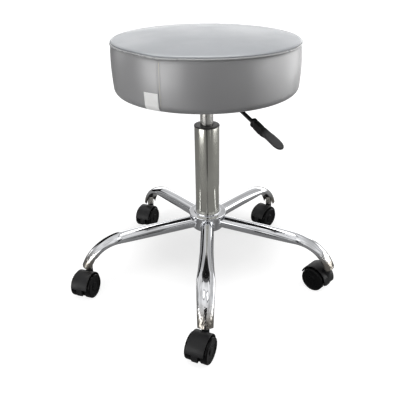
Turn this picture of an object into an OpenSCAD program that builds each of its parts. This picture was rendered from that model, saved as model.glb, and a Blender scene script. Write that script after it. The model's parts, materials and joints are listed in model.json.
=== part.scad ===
// A rolling stool: a round padded seat on a gas lift, over a five-leg base on hooded twin-wheel casters.
// The origin is on the floor under the middle of the column, and the front leg points along -Y.

/* [Casters] */
// Radius of a wheel
wheel_r = 25; // [18:0.5:40]
// Width of one wheel
wheel_w = 14.6; // [11:0.1:24]
// Space between the two wheels of a caster
wheel_space = 15; // [13:0.5:24]
// Distance from the swivel axis to the axle
caster_offset = 21.5; // [15:0.5:30]
// Radius of an axle
axle_r = 3; // [2:0.25:4]
// Width of the hood over the wheels
hood_w = 34; // [24:0.5:60]
// Wall of the hood
hood_wall = 1.8; // [1.2:0.1:3]
// Radius of the swivel boss on the hood
boss_r = 7.2; // [7:0.1:13]
// Radius of the stem in the leg's sleeve
stem_r = 5.5; // [4:0.25:6]
// Radius of the stem's lower pivot in the hood
pivot_r = 4; // [3:0.25:5]

/* [Base] */
// Radius of the circle that the caster stems stand on
stem_circle_r = 263; // [200:1:330]
// Width of a leg tube at the hub
tube_d = 27; // [20:0.5:36]
// Width of a leg tube in the bend, where it is flattened
bend_w = 34.5; // [22:0.5:40]
// Thickness of a leg tube in the bend
bend_t = 17.5; // [14:0.5:30]
// Wall of a leg tube
tube_wall = 1.5; // [1:0.1:2.5]
// Radius of the leg's bend, along the middle of the tube
bend_r = 88; // [60:1:110]
// Fall of the straight stretch of a leg, in degrees
leg_slope = 4.3; // [0:0.1:12]
// Turn of the leg's bend, in degrees
leg_turn = 62.5; // [50:0.5:70]
// Radius of the hub's body
hub_r = 33.4; // [29:0.1:45]
// Radius of the hub's flange
flange_r = 39.7; // [35:0.1:55]
// Thickness of the hub's flange
flange_t = 5; // [3:0.5:8]

/* [Gas lift] */
// Radius of the outer column
column_r = 25; // [22:0.5:30]
// Wall of the outer column
column_wall = 1.6; // [1.2:0.1:2.5]
// Length of the outer column
column_h = 229.5; // [200:0.1:300]
// Radius of the inner pressure tube
lift_r = 13; // [11:0.5:16]
// Wall of the inner pressure tube
lift_wall = 1.8; // [1.2:0.1:2.5]
// Radius of the piston rod
rod_r = 5; // [4:0.25:6]
// Travel of the lift
lift_travel = 130; // [60:5:140]
// Length of the guide bush in the column
bush_h = 56; // [40:1:60]

/* [Seat] */
// Radius of the seat at its welt
seat_r = 174; // [150:1:220]
// Height of the seat's side, from its underside to the welt
seat_h = 90.9; // [60:0.1:120]
// Gap from the column's collar up to the underside of the seat
seat_rise = 72.6; // [70:0.1:90]
// Rise of the top panel's middle over the welt
crown_h = 10.9; // [2:0.1:20]
// How far the side swells out between welt and underside
side_swell = 1.5; // [0:0.1:6]
// Radius of the seat's lower edge
edge_r = 13; // [6:1:25]
// Thickness of the vinyl
vinyl_t = 1.2; // [0.8:0.1:2]
// Radius of the welt cord
welt_r = 1.9; // [1.2:0.1:4]
// Thickness of the plywood board
board_t = 12; // [9:0.5:18]
// Pull of the side join on the welt
join_pull = 1.6; // [0:0.1:5]

/* [Seat plate] */
// Side of the pressed steel plate
plate_w = 150; // [120:1:190]
// Thickness of the plate
plate_t = 2.5; // [2:0.25:4]
// Side of the plate's sunk pan
pan_w = 84; // [70:1:100]
// Depth of the plate's sunk pan
pan_h = 30; // [28:1:40]
// Spacing of the four plate screws
screw_span = 120; // [104:1:140]
// Radius of a plate screw
screw_r = 3; // [2.5:0.25:4]

/* [Lever] */
// Direction of the lever, in degrees from +X
lever_turn = -58; // [-180:1:180]
// Radius of the lever's rod
lever_r = 2.6; // [2.4:0.1:5]
// Distance from the column's middle to the lever's pivot
lever_arm = 52; // [50:1:60]
// Distance from the column's middle to the lever's bend
lever_bend_x = 92; // [66:1:110]
// Distance from the column's middle to the tip of the grip
lever_tip_x = 228; // [190:1:260]
// Fall of the lever's outer stretch, in degrees
lever_fall = 17; // [5:0.5:20]
// Length of the grip
grip_l = 83; // [60:1:100]
// Width of the grip's paddle
grip_w = 20; // [16:0.5:32]
// Height of the grip's inner half
grip_t = 16; // [10:0.5:20]
// Travel of the release pin
pin_travel = 4; // [2:0.25:4.5]

/* [Hidden] */
$fn = 64;
// Overrun of every cut past the face that it opens
over = 1;
// Radial clearance of a part that turns or slides in another
running = 0.05;
// Clearance of parts that are seated and don't move
seated = 0.1;
// Space between parts that pass each other
pass = 0.4;

// Where the five legs stand, from the front one on, anticlockwise seen from above
PLACES = ["front", "right", "back_right", "back_left", "left"];
leg_step = 360 / len(PLACES);
first_leg = -91.3;
function leg_az(i) = first_leg + i * leg_step;
// Direction from each caster's stem to its axle
caster_turns = [-114, 135, -133, -112, -107];
SIDES = ["near", "far"];

// Caster heights and widths
hood_space = 2.9;
hood_r = wheel_r + hood_space + hood_wall;
web_gap = 1.5;
web_t = wheel_space - 2 * web_gap;
web_low = 10;
// The hood reaches from the trailing side's low edge, over the top, to the stem side's edge
hood_low_angle = 12;
hood_far_angle = 187;
boss_sink = 1.8;
boss_rise = 5;
boss_top = wheel_r + hood_r - boss_sink;
boss_low = wheel_r + boss_rise;
collar_t = 1.5;
collar_in = 0.5;
collar_r = boss_r - collar_in;
sleeve_low = boss_top + pass + collar_t;
sleeve_r = 7.6;
sleeve_h = 28;
sleeve_slant = 52;
sleeve_short = 10.5;
pip_r = 2.2;
pip_d = 0.5;
pip_z = 13;
stem_h = 20;
ring_low = 3;
ring_h = 4;
ring_t = 0.9;
stem_tip = 2;
pivot_end = boss_low + over;

// Wheel profile
tread_round = 2.5;
rim_t = 3.5;
rim_lip = 4.5;
dish_d = 1.4;
wheel_web_t = 3;
wheel_hub_r = 6.5;
cap_r = 7.5;
cap_d = 0.5;
wheel_side_gap = 0.3;
wheel_hub_out = web_gap - wheel_side_gap;
axle_end = wheel_w - dish_d - wheel_web_t;

// Leg line in the leg's own plane: a straight fall, then an arc down to the sleeve
tip_out = 1.1;
tip_rise = 7.2;
arc_steps = 9;
tube_sides = 16;
// Shares of the straight stretch where the tube starts to spread
straight_shares = [0.6, 0.8, 0.92];
// How far the tube has spread to its full width, and has been flattened, at each ring from the hub on
wide_shares = [0, 0, 0.3, 0.55, 0.82, 1, 1, 0.93, 0.84, 0.74, 0.63, 0.52, 0.44, 0.4, 0.38];
flat_shares = [0, 0, 0.1, 0.25, 0.45, 0.72, 0.92, 1, 1, 0.95, 0.86, 0.76, 0.66, 0.6, 0.55];
tip_reach = 5;
// The inner side of the tube's end is cut away, from open_in inside the stem's circle out to open_out
open_in = 15;
open_out = 1;
open_h = 26;
root_in = 7.5;
arc_end_z = sleeve_low + tip_rise;
arc_end_r = stem_circle_r + tip_out;
arc_start_r = arc_end_r - bend_r * (sin(leg_slope + leg_turn) - sin(leg_slope));
arc_start_z = arc_end_z + bend_r * (cos(leg_slope) - cos(leg_slope + leg_turn));
leg_z0 = arc_start_z + arc_start_r * tan(leg_slope);
slit_top_w = 1;
slit_low_w = 4.5;
slit_h = 33;

// Hub heights
hub_gap = 0.2;
leg_root_z = leg_z0 - hub_r * tan(leg_slope);
hub_under = 1;
hub_over = 2.2;
hub_low = leg_root_z - tube_d / 2 - hub_under;
flange_low = leg_root_z + tube_d / 2 + hub_over;
flange_top = flange_low + flange_t;
flange_round = 1.5;
lip_t = 3.5;
lip_r = column_r + lip_t;
lip_h = 3;

// Lift heights
column_out = 3;
column_low = hub_low - column_out;
column_top = column_low + column_h;
taper_in = 0.8;
end_plate_t = 3;
neck_step = 1;
neck_r = rod_r - neck_step;
race_t = 2;
race_r = 14;
ball_r = 1.5;
ball_ring_r = 10;
ball_count = 12;
cage_t = 1.4;
cage_edge = 1.2;
stop_h = 9;
stop_r = 11;
stop_gap = 0.3;
bearing_low = column_low + end_plate_t;
ball_z = bearing_low + race_t + seated + ball_r;
upper_race_low = ball_z + ball_r + seated;
shoulder_z = upper_race_low + race_t;
lift_low = shoulder_z + seated + stop_h + stop_gap;
clip_t = 1;
clip_r = 7.5;
clip_in = 0.9;
clip_drop = 2.6;
clip_z = column_low - clip_drop;
clip_washer_t = 0.9;
rod_end = 3;
rod_low = clip_z - rod_end;
guide_h = 16;
piston_h = 12;
piston_spare = 16;
piston_low = lift_low + guide_h + lift_travel + piston_spare;
rod_rivet = 1.5;
rod_top = piston_low + piston_h + rod_rivet;
collar_h = 2.6;
collar_over = 0.6;
bush_top = column_top + collar_h;
seat_low = bush_top + seat_rise;
board_low = seat_low + vinyl_t + seated;
board_in = 14;
board_r = seat_r - board_in;
dust_t = 0.5;
dust_in = 20;
dust_r = board_r - dust_in;
wrap_gap = 1;
wrap_r = dust_r + wrap_gap;
plate_top = board_low - seated - dust_t - seated;
pan_low = plate_top - pan_h;
lift_out = 9;
lift_top = pan_low + plate_t + lift_out;
pin_r = 3.5;
pin_out = 5;
pin_top = lift_top + pin_out;
pin_h = 26;
valve_h = 24;
lift_taper_h = 34;
lift_taper = 0.5;

// Seat plate
pan_round = 8;
socket_wall = 4;
socket_r = lift_r + socket_wall;
socket_up = 6;
socket_down = 17;
slot_side = 2.4;
slot_w = 2 * (lever_r + slot_side);
slot_up = 6.5;
washer_t = 1.2;
washer_r = 7.5;
head_h = 4;
head_r = 5.5;
tee_r = 9;
tee_t = 1.5;
tee_wall = 1.4;
tee_barrel_r = screw_r + tee_wall;
tee_barrel_h = 9;
plate_round = 16;

// Lever
lever_z = pin_top + pass + lever_r;
lever_in = 6;
bracket_w = 26;
bracket_t = 2;
bracket_l = 16;
bracket_gap = 1.2;
lever_bend_r = 26;
bend_swell = 0.4;
hinge_r = 2;
hinge_wall = 2;
hinge_head_r = 4;
hinge_head_t = 1.5;
press_angle = asin(pin_travel / lever_arm);
grip_bore_h = 34;
grip_sides = 16;

// Seat cover and padding
seg = 60;
welt_z = seat_low + seat_h;
welt_lift = 1.2;
foam_gap = 0.3;
panel_r = seat_r - 2 * welt_r - foam_gap;
crown_power = 3.5;
join_az = -115.6;
join_spread = 11;
puff_az = -136;
puff_spread = 13;
puff_share = -0.5;
swell_steps = 4;
edge_steps = 4;
crown_shares = [0.28, 0.52, 0.72, 0.88, 0.97];
staple_w = 10;
staple_d = 1;
staple_h = 0.7;
staple_count = 24;
staple_in = 5;
tag_w = 28;
tag_h = 33;
tag_t = 0.5;
tag_az = -121;
tag_low = edge_r;
tag_under = 50;
tag_steps = 3;

CHROME = "#d5d7da";
NICKEL = "#a9a69c";
STEEL = "#8f9296";
BLACK = "#1c1c1e";
DARK = "#2b2b2e";
VINYL = "#989a9d";
VINYL_TOP = "#b4b8bd";

// Places

module at_leg(i) {
    rotate([0, 0, leg_az(i)])
        children();
}

module at_stem(i) {
    at_leg(i)
        translate([stem_circle_r, 0, 0])
            children();
}

// A caster's own frame: the stem axis is at its origin and the axle lies along +X
module at_caster(i) {
    at_stem(i)
        rotate([0, 0, caster_turns[i] - leg_az(i)])
            children();
}

module at_axle(i) {
    at_caster(i)
        translate([caster_offset, 0, wheel_r])
            children();
}

module at_screws() {
    for (x = [-1, 1], y = [-1, 1])
        rotate([0, 0, lever_turn])
            translate([x * screw_span / 2, y * screw_span / 2, 0])
                children();
}

module ring(r_out, r_in, h) {
    difference() {
        cylinder(r = r_out, h = h);
        translate([0, 0, -over])
            cylinder(r = r_in, h = h + 2 * over);
    }
}

// Solids swept in rings of points

// Faces between rings of n points each; loop closes the last ring on the first
function ring_faces(rings, n, loop) = [
    for (j = [0 : rings - (loop ? 1 : 2)], i = [0 : n - 1], k = [0, 1])
        let (a = j * n + i, b = j * n + (i + 1) % n)
        let (c = ((j + 1) % rings) * n + i, d = ((j + 1) % rings) * n + (i + 1) % n)
        k == 0 ? [a, c, b] : [b, c, d]
];

// A fan from the one point p to the ring that starts at point first
function fan(p, first, n, flip) = [
    for (i = [0 : n - 1])
        let (a = first + i, b = first + (i + 1) % n)
        flip ? [p, b, a] : [p, a, b]
];

full_turn = 360;

// The side join pulls the welt down a little, and the stretch beside it stands up
function angle_off(a, at) = abs((a - at + full_turn + full_turn / 2) % full_turn - full_turn / 2);
function bell(a, at, spread) = exp(-pow(angle_off(a, at) / spread, 2));
function welt_dip(a) = -join_pull * (bell(a, join_az, join_spread) + puff_share * bell(a, puff_az, puff_spread));
function dip_at(a, z) = welt_dip(a) * max(0, z - seat_low - edge_r) / (seat_h - edge_r);

function ring_points(profile) = [
    for (p = profile, i = [0 : seg - 1])
        let (a = i * 360 / seg)
        [p[0] * cos(a), p[0] * sin(a), p[1] + dip_at(a, p[1])]
];

// A ring-shaped solid from a closed profile of [radius, height] points
module ring_solid(profile) {
    polyhedron(ring_points(profile), ring_faces(len(profile), seg, true));
}

// A full solid whose profile starts and ends on the axis, at heights z_first and z_last
module full_solid(z_first, profile, z_last) {
    n = len(profile) * seg;
    points = concat(ring_points(profile), [[0, 0, z_first], [0, 0, z_last]]);
    faces = concat(
        ring_faces(len(profile), seg, false),
        fan(n, 0, seg, false),
        fan(n + 1, (len(profile) - 1) * seg, seg, true)
    );
    polyhedron(points, faces);
}

// Height of the top panel's outer face at a share of the welt radius, sunk by inset
function crown_z(share, inset) = welt_z + crown_h * (1 - pow(share, crown_power)) - inset;

// Outer face of the side, from the welt down and round the lower edge, drawn in by inset
function side_profile(inset) = concat(
    [for (k = [0 : swell_steps])
        [seat_r + side_swell * sin(180 * k / swell_steps) - inset,
         welt_z - k / swell_steps * (seat_h - edge_r)]],
    [for (k = [1 : edge_steps])
        let (a = 90 * k / edge_steps)
        [seat_r - edge_r + (edge_r - inset) * cos(a), seat_low + edge_r - (edge_r - inset) * sin(a)]]
);

// A side profile whose top end starts lower, to leave room for the welt
function lowered(profile, drop) = [
    for (k = [0 : len(profile) - 1])
        k == 0 ? profile[0] - [0, drop] : profile[k]
];

// Leg tubes

// Place of each ring: distance from the middle, height, and fall of the tube there
function on_straight(r) = [r, leg_z0 - r * tan(leg_slope), leg_slope];
function on_arc(t) =
    let (fall = leg_slope + leg_turn * t)
    [arc_start_r + bend_r * (sin(fall) - sin(leg_slope)), arc_start_z - bend_r * (cos(leg_slope) - cos(fall)), fall];

leg_places = concat(
    [on_straight(hub_r - root_in)],
    [for (share = straight_shares) on_straight(arc_start_r * share)],
    [for (k = [0 : arc_steps]) on_arc(k / arc_steps)],
    [on_arc(1) + [tip_reach * cos(leg_slope + leg_turn), -tip_reach * sin(leg_slope + leg_turn), 0]]
);

// Rings with their half width and half thickness added
leg_sections = [
    for (k = [0 : len(leg_places) - 1])
        concat(leg_places[k], [
            (tube_d + (bend_w - tube_d) * wide_shares[k]) / 2,
            (tube_d + (bend_t - tube_d) * flat_shares[k]) / 2
        ])
];

function section_points(s, wall) = [
    for (i = [0 : tube_sides - 1])
        let (a = i * 360 / tube_sides, out = (s[4] - wall) * cos(a))
        [s[0] + out * sin(s[2]), (s[3] - wall) * sin(a), s[1] + out * cos(s[2])]
];

// The tube as one wall: outer rings out along the leg, then inner rings back
module leg_tube() {
    n = len(leg_sections);
    outer = [for (s = leg_sections) each section_points(s, 0)];
    inner = [for (k = [n - 1 : -1 : 0]) each section_points(leg_sections[k], tube_wall)];
    polyhedron(concat(outer, inner), [for (f = ring_faces(2 * n, tube_sides, true)) [f[0], f[2], f[1]]]);
}

module leg(i) {
    color(CHROME)
        at_leg(i)
            difference() {
                leg_tube();
                // coped to the hub
                cylinder(r = hub_r + hub_gap, h = leg_z0 + tube_d);
                // the inner side of the end is cut away, round the sleeve
                translate([stem_circle_r, bend_w, 0])
                    rotate([90, 0, 0])
                        linear_extrude(2 * bend_w)
                            polygon([
                                [-open_in - bend_w, sleeve_low + open_h],
                                [-open_in, sleeve_low + open_h],
                                [-open_out, sleeve_low],
                                [-open_out, 0],
                                [-open_in - bend_w, 0]
                            ]);
                translate([stem_circle_r, 0, sleeve_low])
                    sleeve_body(sleeve_r + seated);
                // slit in the outer face, wider at its foot
                translate([stem_circle_r, 0, sleeve_low])
                    rotate([90, 0, 90])
                        linear_extrude(bend_w)
                            polygon([
                                [-slit_low_w / 2, 0],
                                [slit_low_w / 2, 0],
                                [slit_top_w / 2, slit_h],
                                [-slit_top_w / 2, slit_h]
                            ]);
            }
}

module hub() {
    color(CHROME)
        difference() {
            union() {
                translate([0, 0, hub_low])
                    cylinder(r = hub_r, h = flange_low - hub_low);
                translate([0, 0, flange_low])
                    rotate_extrude()
                        polygon([
                            [0, 0],
                            [flange_r, 0],
                            for (a = [0 : 15 : 90])
                                [flange_r - flange_round * (1 - cos(a)), flange_t - flange_round * (1 - sin(a))],
                            [0, flange_t]
                        ]);
                translate([0, 0, flange_top])
                    cylinder(r = lip_r, h = lip_h);
            }
            column_space(hub_gap);
        }
}

// The column's outside, with its slight taper in the hub, grown by gap
module column_space(gap) {
    translate([0, 0, column_low - over])
        rotate_extrude()
            polygon([
                [0, 0],
                [column_r - taper_in + gap, 0],
                [column_r + gap, flange_top - column_low + over],
                [column_r + gap, column_h + 2 * over],
                [0, column_h + 2 * over]
            ]);
}

// A post of radius r whose top slants down outward, to lie inside the leg tube
module sleeve_body(r) {
    difference() {
        cylinder(r = r, h = sleeve_h);
        translate([sleeve_r, 0, sleeve_short + r - sleeve_r])
            rotate([0, sleeve_slant, 0])
                translate([-2 * sleeve_h, -sleeve_h, 0])
                    cube([4 * sleeve_h, 2 * sleeve_h, 2 * sleeve_h]);
    }
}

module stem_sleeves() {
    color(NICKEL)
        for (i = [0 : len(PLACES) - 1])
            at_stem(i)
                translate([0, 0, sleeve_low])
                    difference() {
                        sleeve_body(sleeve_r);
                        translate([0, 0, -over])
                            cylinder(r = stem_r + seated, h = sleeve_h + 2 * over);
                        // a pressed pip in the inner side
                        translate([-sleeve_r - over, 0, pip_z])
                            rotate([0, 90, 0])
                                cylinder(r = pip_r, h = pip_d + over, $fn = 32);
                    }
}

module caster_stems() {
    color(STEEL)
        for (i = [0 : len(PLACES) - 1])
            at_stem(i)
                rotate_extrude()
                    polygon([
                        [0, pivot_end],
                        [pivot_r, pivot_end],
                        [pivot_r, boss_top + pass],
                        [collar_r, boss_top + pass],
                        [collar_r, sleeve_low],
                        [stem_r, sleeve_low],
                        [stem_r, sleeve_low + ring_low],
                        [stem_r - ring_t, sleeve_low + ring_low],
                        [stem_r - ring_t, sleeve_low + ring_low + ring_h],
                        [stem_r, sleeve_low + ring_low + ring_h],
                        [stem_r, sleeve_low + stem_h - stem_tip],
                        [stem_r - stem_tip, sleeve_low + stem_h],
                        [0, sleeve_low + stem_h]
                    ]);
}

module grip_rings() {
    color(STEEL)
        for (i = [0 : len(PLACES) - 1])
            at_stem(i)
                translate([0, 0, sleeve_low + ring_low + seated])
                    difference() {
                        ring(stem_r + seated / 2, stem_r - ring_t + seated / 2, ring_h - 2 * seated);
                        translate([0, -ring_t / 2, -over])
                            cube([2 * stem_r, ring_t, ring_h + 2 * over]);
                    }
}

// Gas lift

module column_tube() {
    color(NICKEL)
        difference() {
            translate([0, 0, column_low])
                rotate_extrude()
                    polygon([
                        [0, 0],
                        [column_r - taper_in, 0],
                        [column_r, flange_top - column_low],
                        [column_r, column_h],
                        [0, column_h]
                    ]);
            translate([0, 0, column_low + end_plate_t])
                cylinder(r = column_r - column_wall, h = column_h);
            translate([0, 0, column_low - over])
                cylinder(r = neck_r + running, h = end_plate_t + 2 * over);
        }
}

module guide_bush() {
    color(BLACK)
        difference() {
            union() {
                translate([0, 0, column_top - bush_h])
                    cylinder(r = column_r - column_wall - seated, h = bush_h);
                translate([0, 0, column_top])
                    cylinder(r = column_r + collar_over, h = collar_h);
            }
            translate([0, 0, column_top - bush_h - over])
                cylinder(r = lift_r + running, h = bush_h + collar_h + 2 * over);
        }
}

module lower_race() {
    color(STEEL)
        translate([0, 0, bearing_low])
            ring(race_r, neck_r + running, race_t);
}

module ball_cage() {
    color(DARK)
        translate([0, 0, ball_z - cage_t / 2])
            difference() {
                ring(ball_ring_r + ball_r + cage_edge, ball_ring_r - ball_r - cage_edge, cage_t);
                for (k = [0 : ball_count - 1])
                    rotate([0, 0, k * 360 / ball_count])
                        translate([ball_ring_r, 0, -over])
                            cylinder(r = ball_r + running, h = cage_t + 2 * over, $fn = 24);
            }
}

module bearing_balls() {
    color(STEEL)
        for (k = [0 : ball_count - 1])
            rotate([0, 0, k * 360 / ball_count])
                translate([ball_ring_r, 0, ball_z])
                    sphere(r = ball_r, $fn = 24);
}

module upper_race() {
    color(STEEL)
        translate([0, 0, upper_race_low])
            ring(race_r, neck_r + seated, race_t);
}

module bump_stop() {
    color(BLACK)
        translate([0, 0, shoulder_z + seated])
            ring(stop_r, rod_r + seated, stop_h);
}

module piston_rod() {
    color(CHROME)
        rotate_extrude()
            polygon([
                [0, rod_low],
                [neck_r, rod_low],
                [neck_r, clip_z],
                [neck_r - clip_in, clip_z],
                [neck_r - clip_in, clip_z + clip_t + seated],
                [neck_r, clip_z + clip_t + seated],
                [neck_r, shoulder_z],
                [rod_r, shoulder_z],
                [rod_r, rod_top],
                [0, rod_top]
            ]);
}

module piston() {
    color(DARK)
        translate([0, 0, piston_low])
            ring(lift_r - lift_wall - running, rod_r + seated / 2, piston_h);
}

// A washer under the column's end plate, and the sprung clip that carries it
module rod_clip() {
    color(STEEL) {
        translate([0, 0, clip_z + seated / 2])
            difference() {
                ring(clip_r, neck_r - clip_in + seated / 2, clip_t);
                translate([0, -neck_r + clip_in, -over])
                    cube([2 * clip_r, 2 * (neck_r - clip_in), clip_t + 2 * over]);
            }
        translate([0, 0, clip_z + clip_t + 2 * seated])
            ring(clip_r, neck_r + seated, clip_washer_t);
    }
}

module pressure_tube() {
    color(NICKEL)
        difference() {
            translate([0, 0, lift_low])
                rotate_extrude()
                    polygon([
                        [0, 0],
                        [lift_r, 0],
                        [lift_r, lift_top - lift_low - lift_taper_h],
                        [lift_r - lift_taper, lift_top - lift_low],
                        [0, lift_top - lift_low]
                    ]);
            translate([0, 0, lift_low - over])
                cylinder(r = lift_r - lift_wall, h = lift_top - lift_low + 2 * over);
        }
}

module rod_guide() {
    color(DARK)
        translate([0, 0, lift_low + seated])
            ring(lift_r - lift_wall - running, rod_r + running, guide_h);
}

module valve_block() {
    color(STEEL)
        translate([0, 0, lift_top - valve_h])
            ring(lift_r - lift_wall - running, pin_r + running, valve_h);
}

module release_pin() {
    color(CHROME)
        translate([0, 0, pin_top - pin_h])
            cylinder(r = pin_r, h = pin_h);
}

// Seat plate and its fixings

module rounded_square(w, r) {
    for (t = [0, 1])
        square([w - 2 * r * t, w - 2 * r * (1 - t)], center = true);
    for (x = [-1, 1], y = [-1, 1])
        translate([x * (w / 2 - r), y * (w / 2 - r)])
            circle(r = r);
}

module seat_plate() {
    color(DARK)
        rotate([0, 0, lever_turn])
            difference() {
                union() {
                    translate([0, 0, plate_top - plate_t])
                        linear_extrude(plate_t)
                            rounded_square(plate_w, plate_round);
                    translate([0, 0, pan_low])
                        linear_extrude(pan_h)
                            rounded_square(pan_w, pan_round);
                    translate([0, 0, pan_low - socket_down])
                        cylinder(r = socket_r, h = socket_down + plate_t + socket_up);
                }
                // the pan is open above, round the socket
                difference() {
                    translate([0, 0, pan_low + plate_t])
                        linear_extrude(pan_h)
                            rounded_square(pan_w - 2 * plate_t, pan_round - plate_t);
                    translate([0, 0, pan_low])
                        cylinder(r = socket_r, h = plate_t + socket_up);
                }
                translate([0, 0, pan_low - socket_down - over])
                    cylinder(r = lift_r + seated, h = socket_down + pan_h);
                // slot for the lever
                translate([0, -slot_w / 2, lever_z - lever_r - slot_up])
                    cube([pan_w, slot_w, plate_top - plate_t - lever_z + lever_r + slot_up]);
                for (x = [-1, 1], y = [-1, 1])
                    translate([x * screw_span / 2, y * screw_span / 2, plate_top - plate_t - over])
                        cylinder(r = screw_r + pass, h = plate_t + 2 * over, $fn = 32);
            }
}

module screw_washers() {
    color(STEEL)
        at_screws()
            translate([0, 0, plate_top - plate_t - washer_t])
                ring(washer_r, screw_r + seated, washer_t);
}

module plate_screws() {
    color(STEEL)
        at_screws()
            translate([0, 0, plate_top - plate_t - washer_t - head_h]) {
                difference() {
                    cylinder(r = head_r, h = head_h);
                    translate([0, 0, -over])
                        cylinder(r = screw_r, h = head_h / 2 + over, $fn = 6);
                }
                translate([0, 0, head_h])
                    cylinder(r = screw_r, h = washer_t + plate_t + board_t);
            }
}

module tee_nuts() {
    color(NICKEL)
        at_screws()
            translate([0, 0, board_low + board_t]) {
                ring(tee_r, screw_r + seated, tee_t);
                translate([0, 0, -tee_barrel_h])
                    ring(tee_barrel_r, screw_r + seated, tee_barrel_h);
            }
}

// Lever

// A welded bracket of two ears beside the rod, hung from the plate outside the pan
module lever_bracket() {
    color(DARK)
        rotate([0, 0, lever_turn])
            difference() {
                translate([lever_arm - bracket_l / 2, -bracket_w / 2, lever_z - hinge_head_r - bracket_t])
                    cube([bracket_l, bracket_w, plate_top - plate_t - lever_z + hinge_head_r + bracket_t]);
                translate([lever_arm - bracket_l, -bracket_w / 2 + bracket_t, 0])
                    cube([2 * bracket_l, bracket_w - 2 * bracket_t, plate_top - plate_t - bracket_t]);
                translate([lever_arm, bracket_w, lever_z])
                    rotate([90, 0, 0])
                        cylinder(r = hinge_r + seated / 2, h = 2 * bracket_w);
            }
}

module lever_hinge_pin() {
    color(STEEL)
        rotate([0, 0, lever_turn])
            translate([lever_arm, bracket_w / 2 + hinge_head_t + seated, lever_z])
                rotate([90, 0, 0]) {
                    cylinder(r = hinge_r, h = bracket_w + 2 * (hinge_head_t + seated));
                    cylinder(r = hinge_head_r, h = hinge_head_t);
                    translate([0, 0, bracket_w + hinge_head_t + 2 * seated])
                        cylinder(r = hinge_head_r, h = hinge_head_t);
                }
}

// The outer stretch's own frame: from the end of the bend, falling outward
module at_lever_bend() {
    rotate([0, 0, lever_turn])
        translate([lever_bend_x, 0, lever_z - lever_bend_r])
            rotate([0, lever_fall, 0])
                translate([0, 0, lever_bend_r])
                    rotate([0, 90, 0])
                        children();
}

lever_out_l = (lever_tip_x - lever_bend_x - lever_bend_r * sin(lever_fall)) / cos(lever_fall);

module lever_rod() {
    color(BLACK)
        difference() {
            union() {
                rotate([0, 0, lever_turn]) {
                    translate([-lever_in, 0, lever_z])
                        rotate([0, 90, 0])
                            cylinder(r = lever_r, h = lever_in + lever_bend_x + over);
                    // a boss on the rod for the hinge pin
                    translate([lever_arm, bracket_w / 2 - bracket_t - bracket_gap, lever_z])
                        rotate([90, 0, 0])
                            cylinder(r = hinge_r + hinge_wall, h = bracket_w - 2 * (bracket_t + bracket_gap));
                    translate([lever_bend_x, 0, lever_z - lever_bend_r])
                        rotate([90, lever_fall - 90, 0])
                            rotate_extrude(angle = lever_fall)
                                translate([lever_bend_r, 0])
                                    circle(r = lever_r + bend_swell);
                }
                at_lever_bend()
                    translate([0, 0, -over])
                        cylinder(r = lever_r, h = over + lever_out_l - grip_l + grip_bore_h);
            }
            rotate([0, 0, lever_turn])
                translate([lever_arm, bracket_w, lever_z])
                    rotate([90, 0, 0])
                        cylinder(r = hinge_r + running, h = 2 * bracket_w);
        }
}

// Grip sections as shares: place along the grip, width, height, and rise of the middle.
// The inner half is tall and square, and the outer half is a thin paddle.
grip_shares = [
    [0.00, 0.44, 0.78, 0.00],
    [0.02, 0.47, 0.83, 0.00],
    [0.16, 0.48, 0.92, -0.03],
    [0.30, 0.50, 1.00, -0.06],
    [0.40, 0.56, 0.92, -0.03],
    [0.50, 0.74, 0.64, 0.03],
    [0.60, 0.92, 0.40, 0.09],
    [0.72, 1.00, 0.31, 0.10],
    [0.84, 0.97, 0.30, 0.07],
    [0.92, 0.80, 0.29, 0.04],
    [0.975, 0.50, 0.22, 0.02]
];

// A rounded square's point at angle a, one unit from middle to side
function square_point(a) = [for (c = [cos(a), sin(a)]) sign(c) * sqrt(abs(c))];

module lever_grip() {
    n = len(grip_shares) * grip_sides;
    points = concat(
        [for (g = grip_shares, i = [0 : grip_sides - 1])
            let (q = square_point(i * 360 / grip_sides))
            [g[2] * grip_t / 2 * q[0] - g[3] * grip_t, g[1] * grip_w / 2 * q[1], g[0] * grip_l]],
        [[0, 0, 0], [0, 0, grip_l]]
    );
    faces = concat(
        [for (f = ring_faces(len(grip_shares), grip_sides, false)) [f[0], f[2], f[1]]],
        fan(n, 0, grip_sides, true),
        fan(n + 1, (len(grip_shares) - 1) * grip_sides, grip_sides, false)
    );
    color(DARK)
        at_lever_bend()
            translate([0, 0, lever_out_l - grip_l])
                difference() {
                    polyhedron(points, faces);
                    translate([0, 0, -over])
                        cylinder(r = lever_r + seated, h = grip_bore_h + over + seated);
                }
}

// Seat

module seat_board() {
    color("#b98f5f")
        difference() {
            translate([0, 0, board_low])
                cylinder(r = board_r, h = board_t, $fn = 96);
            at_screws()
                translate([0, 0, board_low - over])
                    cylinder(r = tee_barrel_r + seated, h = board_t + 2 * over, $fn = 32);
        }
}

module seat_foam() {
    inset = vinyl_t + foam_gap;
    side = lowered(side_profile(inset), 2 * welt_r + foam_gap);
    top = [for (s = concat(crown_shares, [1])) [(panel_r - foam_gap) * s, crown_z(s, inset)]];
    color("#d9c88f")
        difference() {
            full_solid(crown_z(0, inset), concat(top, side), seat_low + inset);
            translate([0, 0, seat_low - over])
                cylinder(r = board_r + foam_gap, h = board_low + board_t + foam_gap - seat_low + over, $fn = 96);
            at_screws()
                translate([0, 0, board_low])
                    cylinder(r = tee_r + foam_gap, h = board_t + tee_t + 2 * foam_gap, $fn = 32);
        }
}

// The panel's outer face runs out from the middle to the welt, and its inner face runs back
module top_panel() {
    outer = [for (s = concat(crown_shares, [1])) [panel_r * s, crown_z(s, 0)]];
    inner = [for (k = [len(outer) - 1 : -1 : 0]) [outer[k][0], outer[k][1] - vinyl_t]];
    color(VINYL_TOP)
        full_solid(crown_z(0, 0), concat(outer, inner), crown_z(0, 0) - vinyl_t);
}

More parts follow.
